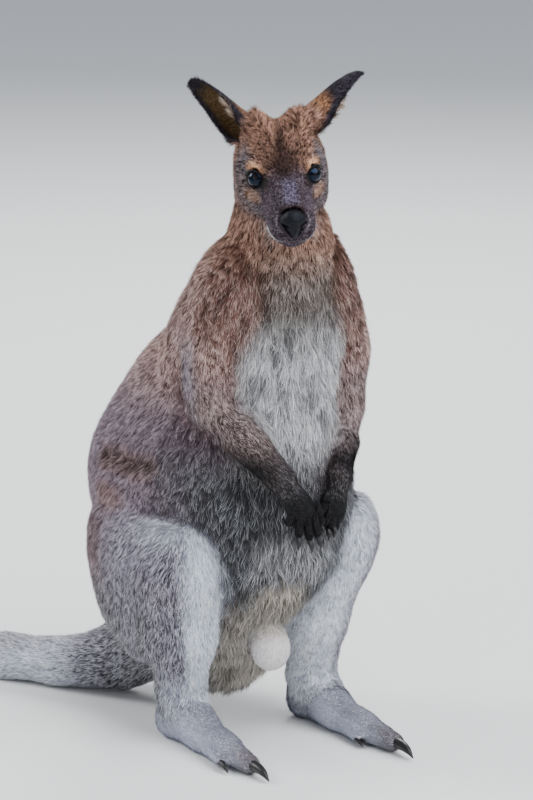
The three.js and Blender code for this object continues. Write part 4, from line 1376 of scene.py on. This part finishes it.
def ear_sheet(name):
    """Rings that go round the back of the ear and return inside it; their share, turn and face."""
    root, axis, ahead, across = ear_frame(name)
    share = np.linspace(EAR_ROWS[0, 0], 1.0, ROWS_UP)
    radius, angle, lean = through(EAR_ROWS[:, 0], EAR_ROWS[:, 1:], share).T
    centre = root + axis * (share * EAR["length"])[:, None] - ahead * lean[:, None]
    sweep = np.concatenate([np.linspace(-1, 1, ROUND), np.linspace(1, -1, ROUND)])
    inside = np.concatenate([np.zeros(ROUND), np.ones(ROUND)])
    turn = np.radians(angle)[:, None] * sweep
    wall = np.minimum(EAR["wall"] + 2.0 * ease(0.3, 0.0, share), radius * 0.5)[:, None]
    reach = radius[:, None] - 0.8 - inside * wall * (1 - 0.75 * np.abs(sweep) ** 6)
    rings = (
        centre[:, None]
        - ahead * (reach * np.cos(turn))[..., None]
        + across * (reach * np.sin(turn))[..., None]
    )
    values = (share[:, None], sweep, inside)
    return rings, *(np.broadcast_to(value, turn.shape).ravel() for value in values)


def ear_colours(share, sweep, inside, upper):
    """Rusty and then black on the back, brown in the cup with black borders and a pale upper tuft."""
    edge = np.abs(sweep)
    back = painted(all_over(CINNAMON, len(share)), [
        (RUFOUS, ease(0.3, 0.1, share)),
        (EAR_BLACK, ease(0.34, 0.56, share + 0.10 * edge)),
        (EAR_BLACK, ease(0.60, 0.78, edge) * ease(0.02, 0.14, share)),
    ])
    cup = painted(all_over(EAR_TAN, len(share)), [
        (EAR_BLACK, ease(0.70, 0.92, share)),
        (EAR_BLACK, ease(0.62, 0.92, edge)),
        (EAR_BUFF, ease(0.16, 0.26, share) * ease(0.62, 0.44, share) * ease(0.30, 0.55, sweep * upper)),
    ])
    return back + inside[:, None, None] * (cup - back)


EAR_BLACK = [(0.003, 0.002, 0.003), (0.012, 0.009, 0.012), (0.042, 0.034, 0.048)]
EAR_TAN = [(0.034, 0.018, 0.006), (0.084, 0.048, 0.017), (0.165, 0.108, 0.052)]
EAR_BUFF = [(0.150, 0.105, 0.075), (0.360, 0.270, 0.210), (0.600, 0.500, 0.420)]
UPPER_RIM = {"right": 1, "left": -1}  # which end of the sweep is the upper rim
ear_roots, ear_axes = [], []
for name in SIDES:
    rings, share, sweep, inside = ear_sheet(name)
    sheet = rings_mesh(rings)
    ear = mesh_from(f"ear_skin_{name}", *sheet, skin_material)
    share, sweep, inside = (np.concatenate([some, some[[0, -1]]]) for some in (share, sweep, inside))
    tint = ear_colours(share, sweep, inside, UPPER_RIM[name])
    mark_points(ear.data, tint[:, 0] * 0.5 + tint[:, 1] * 0.5)
    joins(ear, "rufous_coat", f"ear_{name}")
    root, axis, ahead, across = ear_frame(name)
    outer = 1 - inside
    rim = ease(0.82, 1.0, np.abs(sweep))
    long = outer * (3.4 + 6.5 * ease(0.34, 0.05, share)) + inside * 3.0 + 1.6 * rim
    upper = ease(0.2, 0.6, sweep * UPPER_RIM[name])
    tuft = inside * ease(0.12, 0.24, share) * ease(0.62, 0.40, share) * upper
    long = long + 7 * tuft
    fields = surface_fields(ear, axis, long, 0.55, tint, 0)
    fields["lie"] = fields["lie"] + across * (0.5 * sweep * outer + 0.9 * rim * np.sign(sweep))[:, None]
    fields["shares"] = inside + len(ear_axes)
    thick = outer * 330 + inside * (130 + 260 * tuft) + 160 * rim
    thick = thick * ease(-0.16, -0.02, share)
    ear_roots.append(own_roots(ear, thick, fields, np.random.default_rng(90 + len(ear_axes))))
    tip = root + axis * EAR["length"]
    ear_axes += [(root, tip), (root, tip)]
blades("coat_ears", stacked(ear_roots), 0, "rufous_coat", ear_axes, 41, lift=0.45, gather=0.15)

# %% [markdown]
# ## Whiskers
# Pale bristles grow in four rows on each side of the muzzle. Each is a thin tube that starts inside the head
# and bends down and back under its own weight.

# %% Whiskers
whisker_material = material("whiskers", 0.45, Base_Color=(0.50, 0.49, 0.50, 1))
WHISKER_GIRTH = [0.15, 0.13, 0.09, 0.03]
draw = np.random.default_rng(5)
whiskers = []
for side in (-1, 1):
    for row in range(4):
        for place_in_row in range(5):
            start = np.array([(13 + 1.5 * place_in_row) * side, -80 + 6 * place_in_row, -6 - 4.5 * row])
            inner = np.array([0, start[1] + 8, -8.0])
            reach = draw.uniform(14, 30)
            way = unit(np.array([side, 0.1 + 0.5 * draw.random(), -0.45 - 0.25 * row]))
            middle = start + way * reach * 0.5
            end = middle + unit(way + [0, 0.25, -0.5]) * reach * 0.5
            path = from_head([inner, start, middle, end])
            whiskers.append(tube(path, WHISKER_GIRTH, (0.3, 0.2, 1), 5, 12))
joins(mesh_from("whiskers", *together(whiskers), whisker_material), "pale_coat")

# %% [markdown]
# ## Floor, light and camera
# A plain pale floor, a broad soft light high in front, a weak one low on his right, two behind that draw the
# edges of the coat, and a long lens at a distance.

# %% Stage
CAMERA_TURN, CAMERA_RISE, CAMERA_FAR = -30.0, 12.0, 5500.0  # degrees, degrees, mm
PIXELS_PER_MM, PICTURE_WIDE, PICTURE_TALL = 0.95, 533, 800
AIM, AIM_PIXEL = np.array([0.0, 0.0, 350.0]), (247.0, 408.0)
SENSOR = 36.0

bpy.ops.mesh.primitive_plane_add(size=12.0, location=(0, 0, 0))
floor = bpy.context.object
floor.name = "floor"
floor.data.materials.append(material("pale_floor", 0.9, Base_Color=(0.78, 0.78, 0.77, 1)))

turn, rise = np.radians([CAMERA_TURN, CAMERA_RISE])
back = np.array([np.sin(turn) * np.cos(rise), -np.cos(turn) * np.cos(rise), np.sin(rise)])
right = np.array([np.cos(turn), np.sin(turn), 0.0])
up = np.cross(back, right)
lens = bpy.data.cameras.new("camera")
camera = linked("camera", lens)
bpy.context.scene.camera = camera
stand = Matrix(np.stack([right, up, back], 1).tolist()).to_4x4()
stand.translation = world(AIM + back * CAMERA_FAR).tolist()
camera.matrix_world = stand
lens.sensor_fit = "HORIZONTAL"
lens.sensor_width = SENSOR
lens.lens = PIXELS_PER_MM * CAMERA_FAR / PICTURE_WIDE * SENSOR
lens.shift_x = (PICTURE_WIDE / 2 - AIM_PIXEL[0]) / PICTURE_WIDE
lens.shift_y = (AIM_PIXEL[1] - PICTURE_TALL / 2) / PICTURE_WIDE
lens.clip_end = 50


def area_light(name, place, aim, size, power, colour=(1, 1, 1)):
    lamp = bpy.data.lights.new(name, "AREA")
    lamp.shape, lamp.size, lamp.energy, lamp.color = "DISK", size, power, colour
    made = linked(name, lamp)
    made.location = place
    made.rotation_euler = (Vector(aim) - Vector(place)).to_track_quat("-Z", "Y").to_euler()


area_light("sky", (0.7, -2.4, 3.1), (0, -0.2, 0.35), 4.2, 250, (0.97, 0.98, 1.0))
area_light("fill", (-2.8, -1.8, 1.4), (0, -0.2, 0.4), 2.2, 22, (1.0, 0.98, 0.96))
area_light("rim_right", (1.8, 2.2, 2.4), (0, 0, 0.4), 1.8, 90)
area_light("rim_left", (-2.0, 2.0, 2.4), (0, 0, 0.4), 1.8, 90)
sky = bpy.data.worlds.new("sky")
bpy.context.scene.world = sky
sky.use_nodes = True
sky.node_tree.nodes["Background"].inputs["Color"].default_value = (0.80, 0.88, 1.0, 1)
sky.node_tree.nodes["Background"].inputs["Strength"].default_value = 0.5
